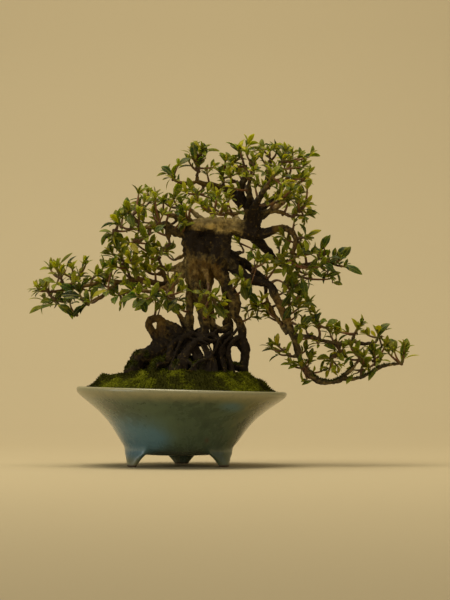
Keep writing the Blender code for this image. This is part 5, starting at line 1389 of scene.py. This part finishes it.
        # Painted shade: the hollow under the level limb, the trunk inside the crown, the cascade's bend and
        # the roots under the canopy.
        low_edge = 116.0 + max(column - 227.0, 0.0) * 0.62
        hollow_shade = patch(column + wave, 221.0, 264.0, 5.0) * patch(row + blot, 102.0, low_edge, 6.0)
        hollow_shade *= 1.0 - log
        crown = patch(column, 258.0, 288.0, 5.0) * patch(row, 60.0, 112.0, 5.0) * (1.0 - log)
        bend = patch(column, 252.0, 300.0, 4.0) * patch(row, 112.0, 150.0, 6.0)
        root = patch(row + wave, 176.0, 260.0, 8.0) * (1.0 if column > 212.0 else 0.62)
        loop = patch(column, 190.0, 207.0, 3.0) * patch(row, 160.0, 184.0, 5.0)
        # Paler patches on the loop root: painted highlights.
        pale = max(pale, loop * 0.2)
        dark = max(hollow_shade, crown * 0.8, bend * 0.9, root * 0.9 * (1.0 - 0.7 * loop))
        mossy = patch(row, 199.0, 260.0, 9.0) * min(max(normal.z + 0.15, 0.0), 1.0) * 0.7
        if column < 206.0 and row > 184.0:
            mossy = min(max(normal.z + 0.4 + wave * 0.3, 0.0), 1.0) * patch(row, 192.0, 260.0, 10.0) * 0.7
        warm = max(0.0, noise.noise(place * 0.11 + Vector((4.0, 0.0, 0.0))) * 1.6)
        warm = max(warm, patch(column, 222.0, 250.0, 6.0) * patch(row, 122.0, 142.0, 8.0) * 0.8)
        warm = max(warm, hanging * 0.8, slim * 0.8, loop * 0.7)
        return pale, mossy, dark, min(warm, 1.0)


class Branch(Enum):
    """The parts of the crown that the foliage is made in."""

    LEFT_TIP = "left_tip"
    LEFT_LOW = "left_low"
    LEFT_HIGH = "left_high"
    CROWN_LEFT = "crown_left"
    CROWN_TOP = "crown_top"
    RIGHT = "right"
    CASCADE = "cascade"
    CASCADE_END = "cascade_end"
    BACK = "back"

    @classmethod
    def of(cls, limb: str, column: float) -> "Branch":
        """Return the part that a shoot belongs to.

        Args:
            limb: The limb that it springs from.
            column: Column of its first whorl.

        Returns:
            The part.
        """
        if limb.startswith("back") or limb == "left_back":
            return cls.BACK
        if limb in ("cascade_run", "cascade_rise", "cascade_second"):
            return cls.CASCADE_END
        if limb.startswith("cascade"):
            return cls.CASCADE
        if limb.startswith("right"):
            return cls.RIGHT
        if limb == "crown_left":
            return cls.CROWN_LEFT
        if limb.startswith("crown"):
            return cls.CROWN_TOP
        if limb.startswith(("stub", "upper", "bridge")):
            return cls.LEFT_HIGH
        return cls.LEFT_TIP if column < 152 else cls.LEFT_LOW


@dataclass
class LeafForm:
    """One leaf, modelled once: foot at x = 0, tip at x = 1, margins at y = -1 and 1."""

    stations: tuple = (0.05, 0.17, 0.34, 0.52, 0.7, 0.85, 0.95)
    widths: tuple = (0.13, 0.4, 0.78, 1.0, 0.93, 0.6, 0.27)

    def build(self) -> tuple[np.ndarray, list[tuple[int, ...]]]:
        """Model the leaf from a sphere of eight sides.

        Returns:
            Its places and faces; z is -1 or 1 at the midrib's two sides.
        """
        rest_all()
        bpy.ops.mesh.primitive_uv_sphere_add(segments=8, ring_count=8, radius=1.0,
                                             rotation=(0.0, math.pi / 2, 0.0))
        form = bpy.context.object
        bpy.ops.object.transform_apply(rotation=True)
        for number, (station, width) in enumerate(zip(self.stations, self.widths), 1):
            ring = -math.cos(math.pi * number / 8)
            bpy.ops.object.mode_set(mode="EDIT")
            bpy.ops.mesh.select_mode(type="VERT")
            bm = bmesh.from_edit_mesh(form.data)
            for vert in bm.verts:
                vert.select_set(abs(vert.co.x - ring) < 0.01 and vert.hide is False)
            bmesh.update_edit_mesh(form.data)
            share = width / math.sin(math.pi * number / 8)
            bpy.ops.transform.resize(value=(1.0, share, share), center_override=(ring, 0.0, 0.0))
            bpy.ops.transform.translate(value=(10.0 + station - ring, 0.0, 0.0))
            bpy.ops.object.mode_set(mode="OBJECT")
        points = np.array([v.co for v in form.data.vertices])
        points[:, 0] = np.where(points[:, 0] > 5.0, points[:, 0] - 10.0,
                                np.where(points[:, 0] > 0.0, 1.0, 0.0))
        faces = [tuple(p.vertices) for p in form.data.polygons]
        bpy.data.objects.remove(form)
        return points, faces


@dataclass
class Leaf:
    """Where a leaf sits and how it is shaped, in millimetres."""

    foot: Vector
    axis: Vector
    normal: Vector
    length: float
    width: float
    age: float
    fold: float = 0.25
    curl: float = 0.0
    twist: float = 0.0

    @classmethod
    def between(cls, end: bmesh.types.BMVert, low: bmesh.types.BMVert, high: bmesh.types.BMVert,
                margins: list[bmesh.types.BMVert]) -> "Leaf":
        """Return the leaf that a solid's corners stand for.

        Args:
            end: The corner at its tip.
            low: A corner on one face of the blade.
            high: The corner opposite to it.
            margins: The two corners at its widest.

        Returns:
            The leaf.
        """
        middle = (low.co + high.co) / 2 / MM
        blade = (margins[0].co + margins[1].co) / 2 / MM
        tip = end.co / MM
        side = (margins[0].co - margins[1].co).normalized()
        normal = (high.co - low.co).normalized()
        if (blade - middle.lerp(tip, 0.444)).dot(normal) < 0.0:
            normal = -normal
        axis = normal.cross(side).normalized()
        if axis.dot(tip - middle) < 0.0:
            axis = -axis
        length = (tip - middle).length / 0.5474
        width = (margins[0].co - margins[1].co).length / MM / 0.94
        return cls(tip - axis * length, axis, normal, length, width, 0.5)

    def shape(self, form: np.ndarray) -> np.ndarray:
        """Bend the leaf's form into place.

        Args:
            form: The form's places.

        Returns:
            The leaf's places.
        """
        t = form[:, 0]
        turn = self.twist * t
        axis = np.array(self.axis)
        side = np.array(self.axis.cross(self.normal).normalized())
        up = np.cross(side, axis)
        across = side[None, :] * np.cos(turn)[:, None] + up[None, :] * np.sin(turn)[:, None]
        rise = up[None, :] * np.cos(turn)[:, None] - side[None, :] * np.sin(turn)[:, None]
        half = self.width * 0.5
        lift = (0.36 * self.length * t * (1.0 - t) - self.curl * self.length * t ** 3)[:, None] * up
        valley = (np.abs(form[:, 1]) * half * self.fold)[:, None] * rise
        thick = (form[:, 2] * 0.14)[:, None] * rise
        along = axis[None, :] * (self.length * t)[:, None]
        return np.array(self.foot) + along + across * (form[:, 1] * half)[:, None] + valley + thick + lift


def seats_of(node: bpy.types.Object) -> list[Leaf]:
    """Find the leaves of a solid spray by their tips.

    Args:
        node: The spray.

    Returns:
        Its leaves as they sit in the solid.
    """
    bm = bmesh.new()
    bm.from_mesh(node.data)
    bmesh.ops.remove_doubles(bm, verts=bm.verts, dist=2e-6)
    tips = {}
    for vert in bm.verts:
        near = [edge.other_vert(vert) for edge in vert.link_edges]
        if len(near) != 4 or min((v.co - vert.co).length for v in near) < 0.0009:
            continue
        low, high = min(combinations(near, 2), key=lambda pair: (pair[0].co - pair[1].co).length)
        key = frozenset((low.index, high.index))
        reach = (vert.co - (low.co + high.co) / 2).length
        if (low.co - high.co).length < 0.001 and reach > tips.get(key, (0.0,))[0]:
            tips[key] = (reach, vert, low, high, [v for v in near if v not in (low, high)])
    found = [Leaf.between(*row[1:]) for row in tips.values() if row[0] > 0.0015]
    bm.free()
    return found


@dataclass
class Shoot:
    """A leafy shoot: where it starts, its whorls and its leaves."""

    name: str
    branch: Branch
    start: Vector
    heading: Vector
    whorls: tuple
    singles: tuple
    paths: list = field(default_factory=list)
    tips: list = field(default_factory=list)
    leaves: list = field(default_factory=list)

    def grow_twigs(self) -> None:
        """Lay out the twigs from the wood to each whorl."""
        goals = [spot(*row[:3]) for row in self.whorls]
        for number, goal in enumerate(goals):
            if number == 0:
                start, lead = self.start, self.heading
            else:
                start = min(goals[:number], key=lambda g: (g - goal).length)
                lead = (goal - start).normalized()
            span = (goal - start).length
            bend = start + lead * span * 0.42
            points = [start - lead * 1.8] if number == 0 else []
            for step in range(9):
                t = step / 8
                points.append(start * (1 - t) ** 2 + bend * 2 * t * (1 - t) + goal * t ** 2)
            heading = (points[-1] - points[-2]).normalized()
            points.append(goal + heading * 0.9)
            thick = 0.92 if number == 0 else 0.72
            radii = np.linspace(thick, 0.5, len(points))
            radii[-1] = 0.34
            self.paths.append((np.array(points), radii))
            self.tips.append((goal, heading))

    def add_whorls(self, rng: random.Random, share: float, least: int, small: float) -> None:
        """Add young leaves round each whorl.

        Args:
            rng: Source of chance.
            share: New leaves for each leaf listed.
            least: Fewest new leaves a whorl.
            small: Their length against the listed length.
        """
        for (goal, heading), row in zip(self.tips, self.whorls):
            side, other = square_to(heading)
            turn = rng.uniform(0.0, math.tau)
            count = max(least, round(row[3] * share))
            for number in range(count):
                angle = turn + number * 2.39996
                spread = math.radians(14.0 + 58.0 * (number + 0.5) / count + rng.uniform(-8.0, 8.0))
                out = side * math.cos(angle) + other * math.sin(angle)
                axis = heading * math.cos(spread) + out * math.sin(spread)
                axis.z += 0.3
                axis.normalize()
                age = rng.uniform(0.0, 0.45) + 0.3 * number / count
                broad = rng.uniform(0.24, 0.33) + age * 0.14
                length = row[4] * small * rng.uniform(0.62, 0.86) * (1.0 + 0.4 * number / count)
                up = heading * 0.5 + Vector((rng.uniform(-0.4, 0.4), rng.uniform(-0.9, 0.1), 0.7))
                normal = (up - axis * up.dot(axis)).normalized()
                foot = goal + heading * rng.uniform(-1.6, 0.6)
                self.leaves.append(Leaf(foot, axis, normal, length, length * broad, age))

    def add_along(self, rng: random.Random, every: float) -> None:
        """Add small leaves along the twigs, one about every so many millimetres."""
        for points, _ in self.paths:
            run = float(np.linalg.norm(np.diff(points, axis=0), axis=1).sum())
            for _ in range(int(run / every)):
                place = rng.uniform(0.3, 0.92) * (len(points) - 1)
                low = int(place)
                foot = Vector(points[low]).lerp(Vector(points[low + 1]), place - low)
                along = Vector(points[low + 1] - points[low]).normalized()
                side, other = square_to(along)
                angle = rng.uniform(0.0, math.tau)
                out = side * math.cos(angle) + other * math.sin(angle)
                axis = (along * 0.7 + out + Vector((0.0, 0.0, 0.35))).normalized()
                up = along * 0.5 + Vector((0.0, -0.25, 0.8))
                normal = (up - axis * up.dot(axis)).normalized()
                length = rng.uniform(3.8, 6.4)
                self.leaves.append(Leaf(foot, axis, normal, length,
                                        length * rng.uniform(0.32, 0.42), rng.uniform(0.2, 0.9)))


@dataclass
class Foliage:
    """All leafy shoots, in one piece of leaves and one of twigs for each part of the crown."""

    wood: TreeWood
    shoots: list[Shoot] = field(default_factory=list)
    stubs: list = field(default_factory=list)

    def grow(self, nodes: dict[str, bpy.types.Object]) -> None:
        """Lay out the shoots, with the solids' leaves where they sit and finer ones added.

        Args:
            nodes: The solids by name.
        """
        for number, row in enumerate(SPRAYS + FINE_SPRAYS):
            solid = number < len(SPRAYS)
            shoot = self._start("spray_%02d" % (number + 1) if solid else "", row)
            shoot.grow_twigs()
            rng = random.Random(300 + number)
            if solid:
                shoot.leaves = seats_of(nodes[shoot.name])
            else:
                shoot.add_whorls(rng, 1.0, 4, 1.25)
            shoot.add_whorls(rng, 0.8, 3, 0.8)
            shoot.add_along(rng, 5.0)
            self._vary(shoot, rng)
            self.shoots.append(shoot)
        self._fill()

    def _fill(self) -> None:
        """Grow the whorls that fill the crown out of the nearest wood."""
        places = [(Vector(p), name) for name, limb in self.wood.limbs.items() if name != "bridge"
                  for p, r in zip(limb.points[4:], limb.radii[4:]) if p[2] > 78.0 and r < 4.6]
        places += [(Vector(p), shoot.branch) for shoot in self.shoots
                   for points, _ in shoot.paths for p in points[3:-2:2]]
        tree = kdtree.KDTree(len(places))
        for number, (place, _) in enumerate(places):
            tree.insert(place, number)
        tree.balance()
        for number, row in enumerate(FILL):
            rng = random.Random(900 + number)
            goal = spot(*row[:3])
            near = tree.find_n(goal - Vector((0.0, 0.0, 3.0)), 60)
            best = min(near, key=lambda n: abs((n[0] - goal).length - 8.0)
                       + max(0.0, n[0].z - goal.z) * 0.7)
            start = best[0].copy()
            owner = places[best[1]][1]
            branch = owner if isinstance(owner, Branch) else Branch.of(owner, row[0])
            lead = (goal - start).normalized()
            bow = Vector((rng.uniform(-0.2, 0.2), rng.uniform(-0.2, 0.2), rng.uniform(-0.5, -0.1)))
            shoot = Shoot("", branch, start, (lead + bow).normalized(), (row,), ())
            shoot.grow_twigs()
            shoot.add_whorls(rng, 1.0, 4, 1.0)
            shoot.add_along(rng, 7.0)
            self._vary(shoot, rng)
            self.shoots.append(shoot)
        for number, row in enumerate(BLADES):
            self.shoots.append(self._blade(row, places, tree, random.Random(1500 + number)))

    def _blade(self, row: tuple, places: list, tree: kdtree.KDTree, rng: random.Random) -> Shoot:
        """Return a single leaf on a stalk from the nearest wood."""
        foot, tip, (width, age) = spot(*row[:3]), spot(*row[3:6]), row[6:]
        start, number, _ = tree.find(foot)
        owner = places[number][1]
        column = (foot.x - SHIFT_X) / CELL + AXIS_COLUMN
        branch = owner if isinstance(owner, Branch) else Branch.of(owner, column)
        sag = Vector((0.0, 0.0, -0.12 * (foot - start).length))
        stalk = [start, (start + foot) / 2 + sag, foot, foot.lerp(tip, 0.08)]
        axis = (tip - foot).normalized()
        up = Vector((rng.uniform(-0.3, 0.3), -0.8, rng.uniform(0.25, 0.8)))
        normal = (up - axis * up.dot(axis)).normalized()
        leaf = Leaf(foot, axis, normal, (tip - foot).length, width, age + rng.uniform(-0.1, 0.1),
                    rng.uniform(0.1, 0.3), rng.uniform(-0.02, 0.06), rng.uniform(-0.3, 0.3))
        paths = [(np.array(stalk), np.array([0.62, 0.5, 0.42, 0.34]))]
        return Shoot("", branch, start.copy(), axis, (), (), paths, [(foot, axis)], [leaf])

    def _start(self, name: str, row: tuple) -> Shoot:
        """Return a shoot placed at the limb that carries it."""
        limb_name, index, whorls, singles = row
        rows = {**LIMBS, **FINE_LIMBS}[limb_name]
        here = spot(*rows[index][:3])
        before = spot(*rows[index - 1][:3])
        goal = spot(*whorls[0][:3])
        branch = Branch.of(limb_name, whorls[0][0])
        if index == len(rows) - 1:
            away = (here - before).normalized()
            return Shoot(name, branch, here + away * 1.6, away, whorls, singles)
        after = spot(*rows[index + 1][:3])
        along = (after - before).normalized()
        away = (goal - here).normalized()
        away = (away - along * away.dot(along) * 0.6).normalized()
        reach = rows[index][3] * CELL + 2.0
        self.stubs.append((np.array([here + away * 0.2, here + away * reach]), np.array([1.1, 0.95])))
        return Shoot(name, branch, here + away * reach, away, whorls, singles)

    def _vary(self, shoot: Shoot, rng: random.Random) -> None:
        """Give each leaf its own fold, curl, twist and age."""
        for leaf in list(shoot.leaves):
            leaf.fold = rng.uniform(0.12, 0.5)
            leaf.curl = rng.uniform(-0.04, 0.14)
            leaf.twist = rng.uniform(-0.5, 0.5)
            if leaf.age == 0.5:
                broad = leaf.width / leaf.length
                grown_up = leaf.length > 11.5 or leaf.width > 3.9
                if leaf.length > 12.0:
                    spare = leaf.axis * (leaf.length - 11.0)
                    stalk = np.array([leaf.foot + spare * t for t in (0.0, 0.35, 0.7, 1.04)])
                    shoot.paths.append((stalk, np.array([0.5, 0.42, 0.36, 0.3])))
                    leaf.foot = leaf.foot + spare
                    leaf.length = 11.0
                leaf.width *= 1.12
                leaf.age = min(max(rng.gauss(0.4 + (broad - 0.37) * 2.2, 0.2), 0.0), 1.0)
                if grown_up:
                    leaf.age = rng.uniform(0.78, 1.0)

    def build(self) -> list[bpy.types.Object]:
        """Build and dress every part.

        Returns:
            The finished pieces.
        """
        form, faces = LeafForm().build()
        leaf_finish = AzaleaLeaf().make()
        twig_finish = ReddishTwig().make()
        made = []
        for branch in Branch:
            group = [shoot for shoot in self.shoots if shoot.branch is branch]
            leaves = self._leaves(branch, group, form, faces)
            seat(leaves, "azalea_leaf", leaf_finish, *[s.name for s in group if s.name])
            twigs = tubes("twigs_" + branch.value, [p for s in group for p in s.paths], 1)
            self._paint_twigs(twigs, group)
            seat(twigs, "azalea_bark", twig_finish)
            made.extend((leaves, twigs))
        return made

    def _leaves(self, branch: Branch, group: list[Shoot], form: np.ndarray,
                faces: list[tuple[int, ...]]) -> bpy.types.Object:
        """Copy the leaf's form to every seat of a part of the crown."""
        rng = random.Random(len(group) * 7 + 1)
        points = []
        polygons = []
        tones = []
        for shoot in group:
            for leaf in shoot.leaves:
                first = len(points) * len(form)
                points.append(leaf.shape(form))
                polygons.extend(tuple(i + first for i in face) for face in faces)
                flush = max(0.0, rng.uniform(-4.0, 0.4)) if leaf.age < 0.4 else 0.0
                elder = self._elder(leaf.foot)
                age = max(leaf.age + rng.gauss(0.0, 0.1), elder * rng.uniform(0.55, 1.0))
                light = rng.uniform(0.05, 1.0) * (1.0 - 0.4 * elder)
                tones.extend([(min(max(age, 0.0), 1.0), light, flush)] * len(form))
        mesh = bpy.data.meshes.new("leaves_" + branch.value)
        mesh.from_pydata(np.concatenate(points) * MM, [], polygons)
        paint(mesh, "tone", np.array(tones))
        layer = mesh.uv_layers.new(name="leaf")
        corners = np.empty(len(mesh.loops), dtype=int)
        mesh.loops.foreach_get("vertex_index", corners)
        chart = np.stack([form[:, 0], form[:, 1] * 0.5 + 0.5], axis=1)[corners % len(form)]
        layer.data.foreach_set("uv", chart.ravel())
        mesh.shade_smooth()
        piece = bpy.data.objects.new(mesh.name, mesh)
        bpy.context.scene.collection.objects.link(piece)
        return piece

    def _elder(self, place: Vector) -> float:
        """Return how much of last year's darker growth is left at a place."""
        column = (place.x - SHIFT_X) / CELL + AXIS_COLUMN
        row = FLOOR_ROW - place.z / CELL
        right = patch(column, 316.0, 366.0, 10.0) * patch(row, 98.0, 150.0, 10.0)
        left = patch(column, 118.0, 154.0, 6.0) * patch(row, 146.0, 174.0, 6.0)
        low = patch(column, 176.0, 216.0, 8.0) * patch(row, 150.0, 172.0, 8.0)
        under = patch(column, 296.0, 320.0, 8.0) * patch(row, 124.0, 160.0, 8.0)
        return max(right, left, low * 0.8, under * 0.7)

    def _paint_twigs(self, piece: bpy.types.Object, group: list[Shoot]) -> None:
        """Store how young each place of the twigs is."""
        tips = kdtree.KDTree(sum(len(shoot.tips) for shoot in group))
        for number, (goal, _) in enumerate(t for shoot in group for t in shoot.tips):
            tips.insert(goal, number)
        tips.balance()
        feet = kdtree.KDTree(len(group))
        for number, shoot in enumerate(group):
            feet.insert(Vector(shoot.paths[0][0][1]), number)
        feet.balance()
        points = read_points(piece.data)
        youth = np.zeros((len(points), 3))
        for index, point in enumerate(points):
            youth[index, 0] = max(0.0, 1.0 - tips.find(Vector(point))[2] / 7.0)
            youth[index, 1] = max(0.0, 1.0 - feet.find(Vector(point))[2] / 6.0)
        paint(piece.data, "twig", youth)
        piece.data.shade_smooth()


@dataclass
class MossCover:
    """The moss: a lumpy cushion with tufts, and tufts on the foot of the roots."""

    radius: float = 59.3
    segments: int = 180
    rings: int = 52
    tufts: int = 11000

    def build(self, wood: bpy.types.Object) -> list[bpy.types.Object]:
        """Build and dress the cushion and its tufts.

        Args:
            wood: The finished wood, which moss creeps onto.

        Returns:
            The finished pieces.
        """
        cushion = self._cushion()
        finish = CushionMoss().make()
        seat(cushion, "green_moss", finish, "moss_carpet")
        tufts = self._tufts(cushion, wood)
        seat(tufts, "green_moss", finish)
        return [cushion, tufts]

    def _level(self, x: float, y: float) -> tuple[float, float]:
        """Return the height of the moss in mm at a place, and how far it stands up."""
        radius = math.hypot(x, y)
        fade = min(max((58.5 - radius) / 7.0, 0.0), 1.0)
        wave = 2.6 * math.exp(-((x + 50.0) / 4.0) ** 2) - 2.4 * patch(x, -44.0, -28.0, 9.0)
        near = noise.voronoi(Vector((x * 0.09, y * 0.075, 3.0)))[0]
        small = noise.voronoi(Vector((x * 0.26, y * 0.26, 9.0)))[0]
        lump = (near[1] - near[0]) * 3.6 - 1.7 + (small[1] - small[0]) * 1.2
        fine = noise.noise(Vector((x * 0.8, y * 0.8, 1.0))) * 0.35
        rough = noise.noise(Vector((x * 0.07, y * 0.07, 5.0))) * 1.2
        return mound_height(radius) + (wave + lump + rough) * fade + fine * (0.4 + 0.6 * fade), lump

    def _cushion(self) -> bpy.types.Object:
        """Inset a disc ring by ring, raise it and close it below."""
        rest_all()
        bpy.ops.mesh.primitive_circle_add(vertices=self.segments, radius=self.radius * MM,
                                          fill_type="NGON")
        piece = bpy.context.object
        piece.name = piece.data.name = "moss_cushion"
        bpy.ops.object.mode_set(mode="EDIT")
        bpy.ops.mesh.select_mode(type="FACE")
        bpy.ops.mesh.select_all(action="SELECT")
        for _ in range(self.rings):
            step = self.radius / (self.rings + 2) * MM
            bpy.ops.mesh.inset(thickness=step, use_even_offset=False)
        bpy.ops.mesh.poke()
        bpy.ops.mesh.select_all(action="SELECT")
        bpy.ops.mesh.extrude_region_move(TRANSFORM_OT_translate={"value": (0.0, 0.0, 0.02)})
        bpy.ops.mesh.select_all(action="SELECT")
        bpy.ops.mesh.normals_make_consistent(inside=False)
        bpy.ops.object.mode_set(mode="OBJECT")
        points = read_points(piece.data)
        stored = np.zeros((len(points), 3))
        for index, point in enumerate(points):
            top = point[2] > 10.0
            level, lump = self._level(point[0], point[1])
            point[2] = level if top else mound_height(math.hypot(point[0], point[1])) - 3.0
            stored[index] = self._tone(point[0], point[1], lump)
        write_points(piece.data, lean(points))
        paint(piece.data, "moss", stored)
        piece.data.shade_smooth()
        return piece

    def _tone(self, x: float, y: float, lump: float) -> tuple[float, float, float]:
        """Return height on the cushion, patch and brownness at a place."""
        sunny = 0.4 + 1.1 * noise.noise(Vector((x * 0.055, y * 0.035, 2.0)))
        for middle, share in ((-5.0, 0.3), (30.0, 0.35), (-44.0, 0.3), (-15.0, -0.5), (12.0, -0.45), (43.0, 0.55), (36.0, 0.3)):
            sunny += share * math.exp(-((x - middle) / 6.0) ** 2)
        sunny += noise.noise(Vector((x * 0.2, y * 0.1, 6.0))) * 0.5
        brown = max(0.0, noise.noise(Vector((x * 0.09, y * 0.09, 7.0))) * 0.9)
        near = max(0.0, 1.0 - math.hypot(x - 8.0, y) / 34.0)
        return (min(max(0.5 + lump * 0.36, 0.0), 1.0), min(max(sunny, 0.0), 1.0),
                min(brown + near * 0.3, 1.0))

    def _tufts(self, cushion: bpy.types.Object, wood: bpy.types.Object) -> bpy.types.Object:
        """Set small pointed tufts on the moss and on the mossy bark."""
        form = np.array([(0.0, 0.0, 1.0), (1.0, 0.0, 0.0), (-0.5, 0.87, 0.0), (-0.5, -0.87, 0.0)])
        faces = ((0, 1, 2), (0, 2, 3), (0, 3, 1), (1, 3, 2))
        rng = random.Random(77)
        seats = self._seats(cushion, rng, self.tufts, lambda c, n, tone: n.z > 0.1)
        seats += self._seats(wood, rng, 2600, lambda c, n, tone: tone[1] > 0.5 and n.z > -0.1)
        points = []
        polygons = []
        tones = []
        for number, (place, normal, tone) in enumerate(seats):
            lean_to = Vector((rng.uniform(-1, 1), rng.uniform(-1, 1), rng.uniform(-0.2, 1))) * 0.55
            up = (normal + lean_to).normalized()
            side, other = square_to(up)
            wide = rng.uniform(0.2, 0.42)
            tall = rng.uniform(0.7, 1.7)
            for x, y, z in form:
                points.append(place - normal * 0.25 + side * (x * wide) + other * (y * wide)
                              + up * (z * tall))
            polygons.extend(tuple(i + number * 4 for i in face) for face in faces)
            light = min(max(tone[0] + rng.uniform(-0.5, 0.55), 0.0), 1.0)
            tones.extend([(min(light + 0.35, 1.0), tone[1], tone[2])] + [(light, tone[1], tone[2])] * 3)
        mesh = bpy.data.meshes.new("moss_tufts")
        mesh.from_pydata(np.array(points) * MM, [], polygons)
        paint(mesh, "moss", np.clip(np.array(tones), 0.0, 1.0))
        piece = bpy.data.objects.new(mesh.name, mesh)
        bpy.context.scene.collection.objects.link(piece)
        return piece

    def _seats(self, piece: bpy.types.Object, rng: random.Random, count: int,
               fits: Callable) -> list[tuple[Vector, Vector, tuple[float, float, float]]]:
        """Draw seats on a piece's faces, by area, where a test allows it."""
        mesh = piece.data
        layer = mesh.color_attributes["moss" if "moss" in mesh.color_attributes else "bark"]
        pool = []
        weights = []
        for face in mesh.polygons:
            tone = tuple(layer.data[face.vertices[0]].color)[:3]
            if fits(face.center, face.normal, tone):
                pool.append((face, tone))
                weights.append(face.area)
        drawn = rng.choices(pool, weights=weights, k=count)
        seats = []
        for face, tone in drawn:
            corners = [mesh.vertices[i].co / MM for i in face.vertices]
            shares = [rng.random() + 0.05 for _ in corners]
            total = sum(shares)
            place = sum((c * (s / total) for c, s in zip(corners, shares)), Vector())
            if "bark" in mesh.color_attributes:
                tone = (0.22, 0.4, 0.35)
            seats.append((place, face.normal.copy(), tone))
        return seats


@dataclass
class Studio:
    """Plain floor and backdrop, soft light and the camera."""

    aim: tuple[float, float, float] = (0.0, 0.0, 102.0)
    distance: float = 1460.0
    eye: float = 53.0
    lens: float = 142.0
    lights: tuple = (
        ("ceiling", (-180.0, -160.0, 1200.0), (0.0, 0.0, 100.0), 760.0, 11.0, (1.0, 0.9, 0.7)),
        ("left_window", (-1200.0, -500.0, 300.0), (0.0, 0.0, 90.0), 700.0, 3.2, (0.86, 0.95, 1.0)),
        ("room", (700.0, -1500.0, 500.0), (0.0, 0.0, 100.0), 1000.0, 3.0, (1.0, 0.9, 0.72)),
        ("wall_wash", (0.0, 500.0, 1700.0), (0.0, 1500.0, 300.0), 1600.0, 13.0, (1.0, 0.94, 0.85)),
    )

    def build(self) -> None:
        """Set up the floor, the lights, the world and the camera."""
        scene = bpy.context.scene
        scene.view_settings.view_transform = "Standard"
        self._floor()
        for row in self.lights:
            self._light(*row)
        world = bpy.data.worlds.new("soft_room")
        world.use_nodes = True
        world.node_tree.nodes["Background"].inputs["Color"].default_value = (1.0, 0.9, 0.72, 1.0)
        world.node_tree.nodes["Background"].inputs["Strength"].default_value = 0.24
        scene.world = world
        camera = bpy.data.objects.new("camera", bpy.data.cameras.new("camera"))
        scene.collection.objects.link(camera)
        camera.data.sensor_width = 36.0
        camera.data.lens = self.lens
        camera.data.clip_end = 20.0
        target = Vector(self.aim) * MM
        rise = (self.aim[2] - self.eye) * MM
        reach = math.sqrt((self.distance * MM) ** 2 - rise ** 2)
        camera.location = target + Vector((0.0, -reach, -rise))
        camera.rotation_mode = "QUATERNION"
        camera.rotation_quaternion = (target - camera.location).to_track_quat("-Z", "Y")
        scene.camera = camera

    def _floor(self) -> None:
        """Sweep a floor up into a backdrop."""
        rest_all()
        bpy.ops.mesh.primitive_grid_add(x_subdivisions=2, y_subdivisions=40, size=6.0)
        floor = bpy.context.object
        floor.name = floor.data.name = "floor_and_backdrop"
        points = read_points(floor.data)
        for point in points:
            run = point[1] - 500.0
            if run > 0.0:
                turn = min(run / 500.0, math.pi / 2)
                rest = max(0.0, run - 500.0 * math.pi / 2)
                point[1] = 500.0 + 500.0 * math.sin(turn)
                point[2] = 500.0 * (1.0 - math.cos(turn)) + rest
        points[:, 2] -= 0.2
        write_points(floor.data, points)
        floor.data.shade_smooth()
        floor.data.materials.append(PalePaper().make())

    def _light(self, name: str, place: tuple[float, float, float],
               aim: tuple[float, float, float], size: float, power: float,
               colour: tuple[float, float, float]) -> None:
        """Hang a square soft light that faces a place."""
        data = bpy.data.lights.new(name, "AREA")
        data.size = size * MM
        data.energy = power
        data.color = colour
        lamp = bpy.data.objects.new(name, data)
        bpy.context.scene.collection.objects.link(lamp)
        lamp.location = Vector(place) * MM
        away = Vector(aim) * MM - lamp.location
        lamp.rotation_mode = "QUATERNION"
        lamp.rotation_quaternion = away.to_track_quat("-Z", "Y")


def main() -> None:
    """Build the bonsai piece by piece."""
    logging.basicConfig(level=logging.INFO, format="%(name)s %(message)s")
    for node, finish in (("soil", PottingSoil()), ("drain_screen", WovenScreen())):
        mesh = frame["nodes"][node].data
        mesh.materials.clear()
        mesh.materials.append(finish.make())
    Bowl().build()
    wood = TreeWood()
    wood.grow()
    foliage = Foliage(wood)
    foliage.grow(frame["nodes"])
    bark = wood.build(foliage.stubs)
    MossCover().build(bark)
    foliage.build()
    Studio().build()


if __name__ == "__main__":
    main()
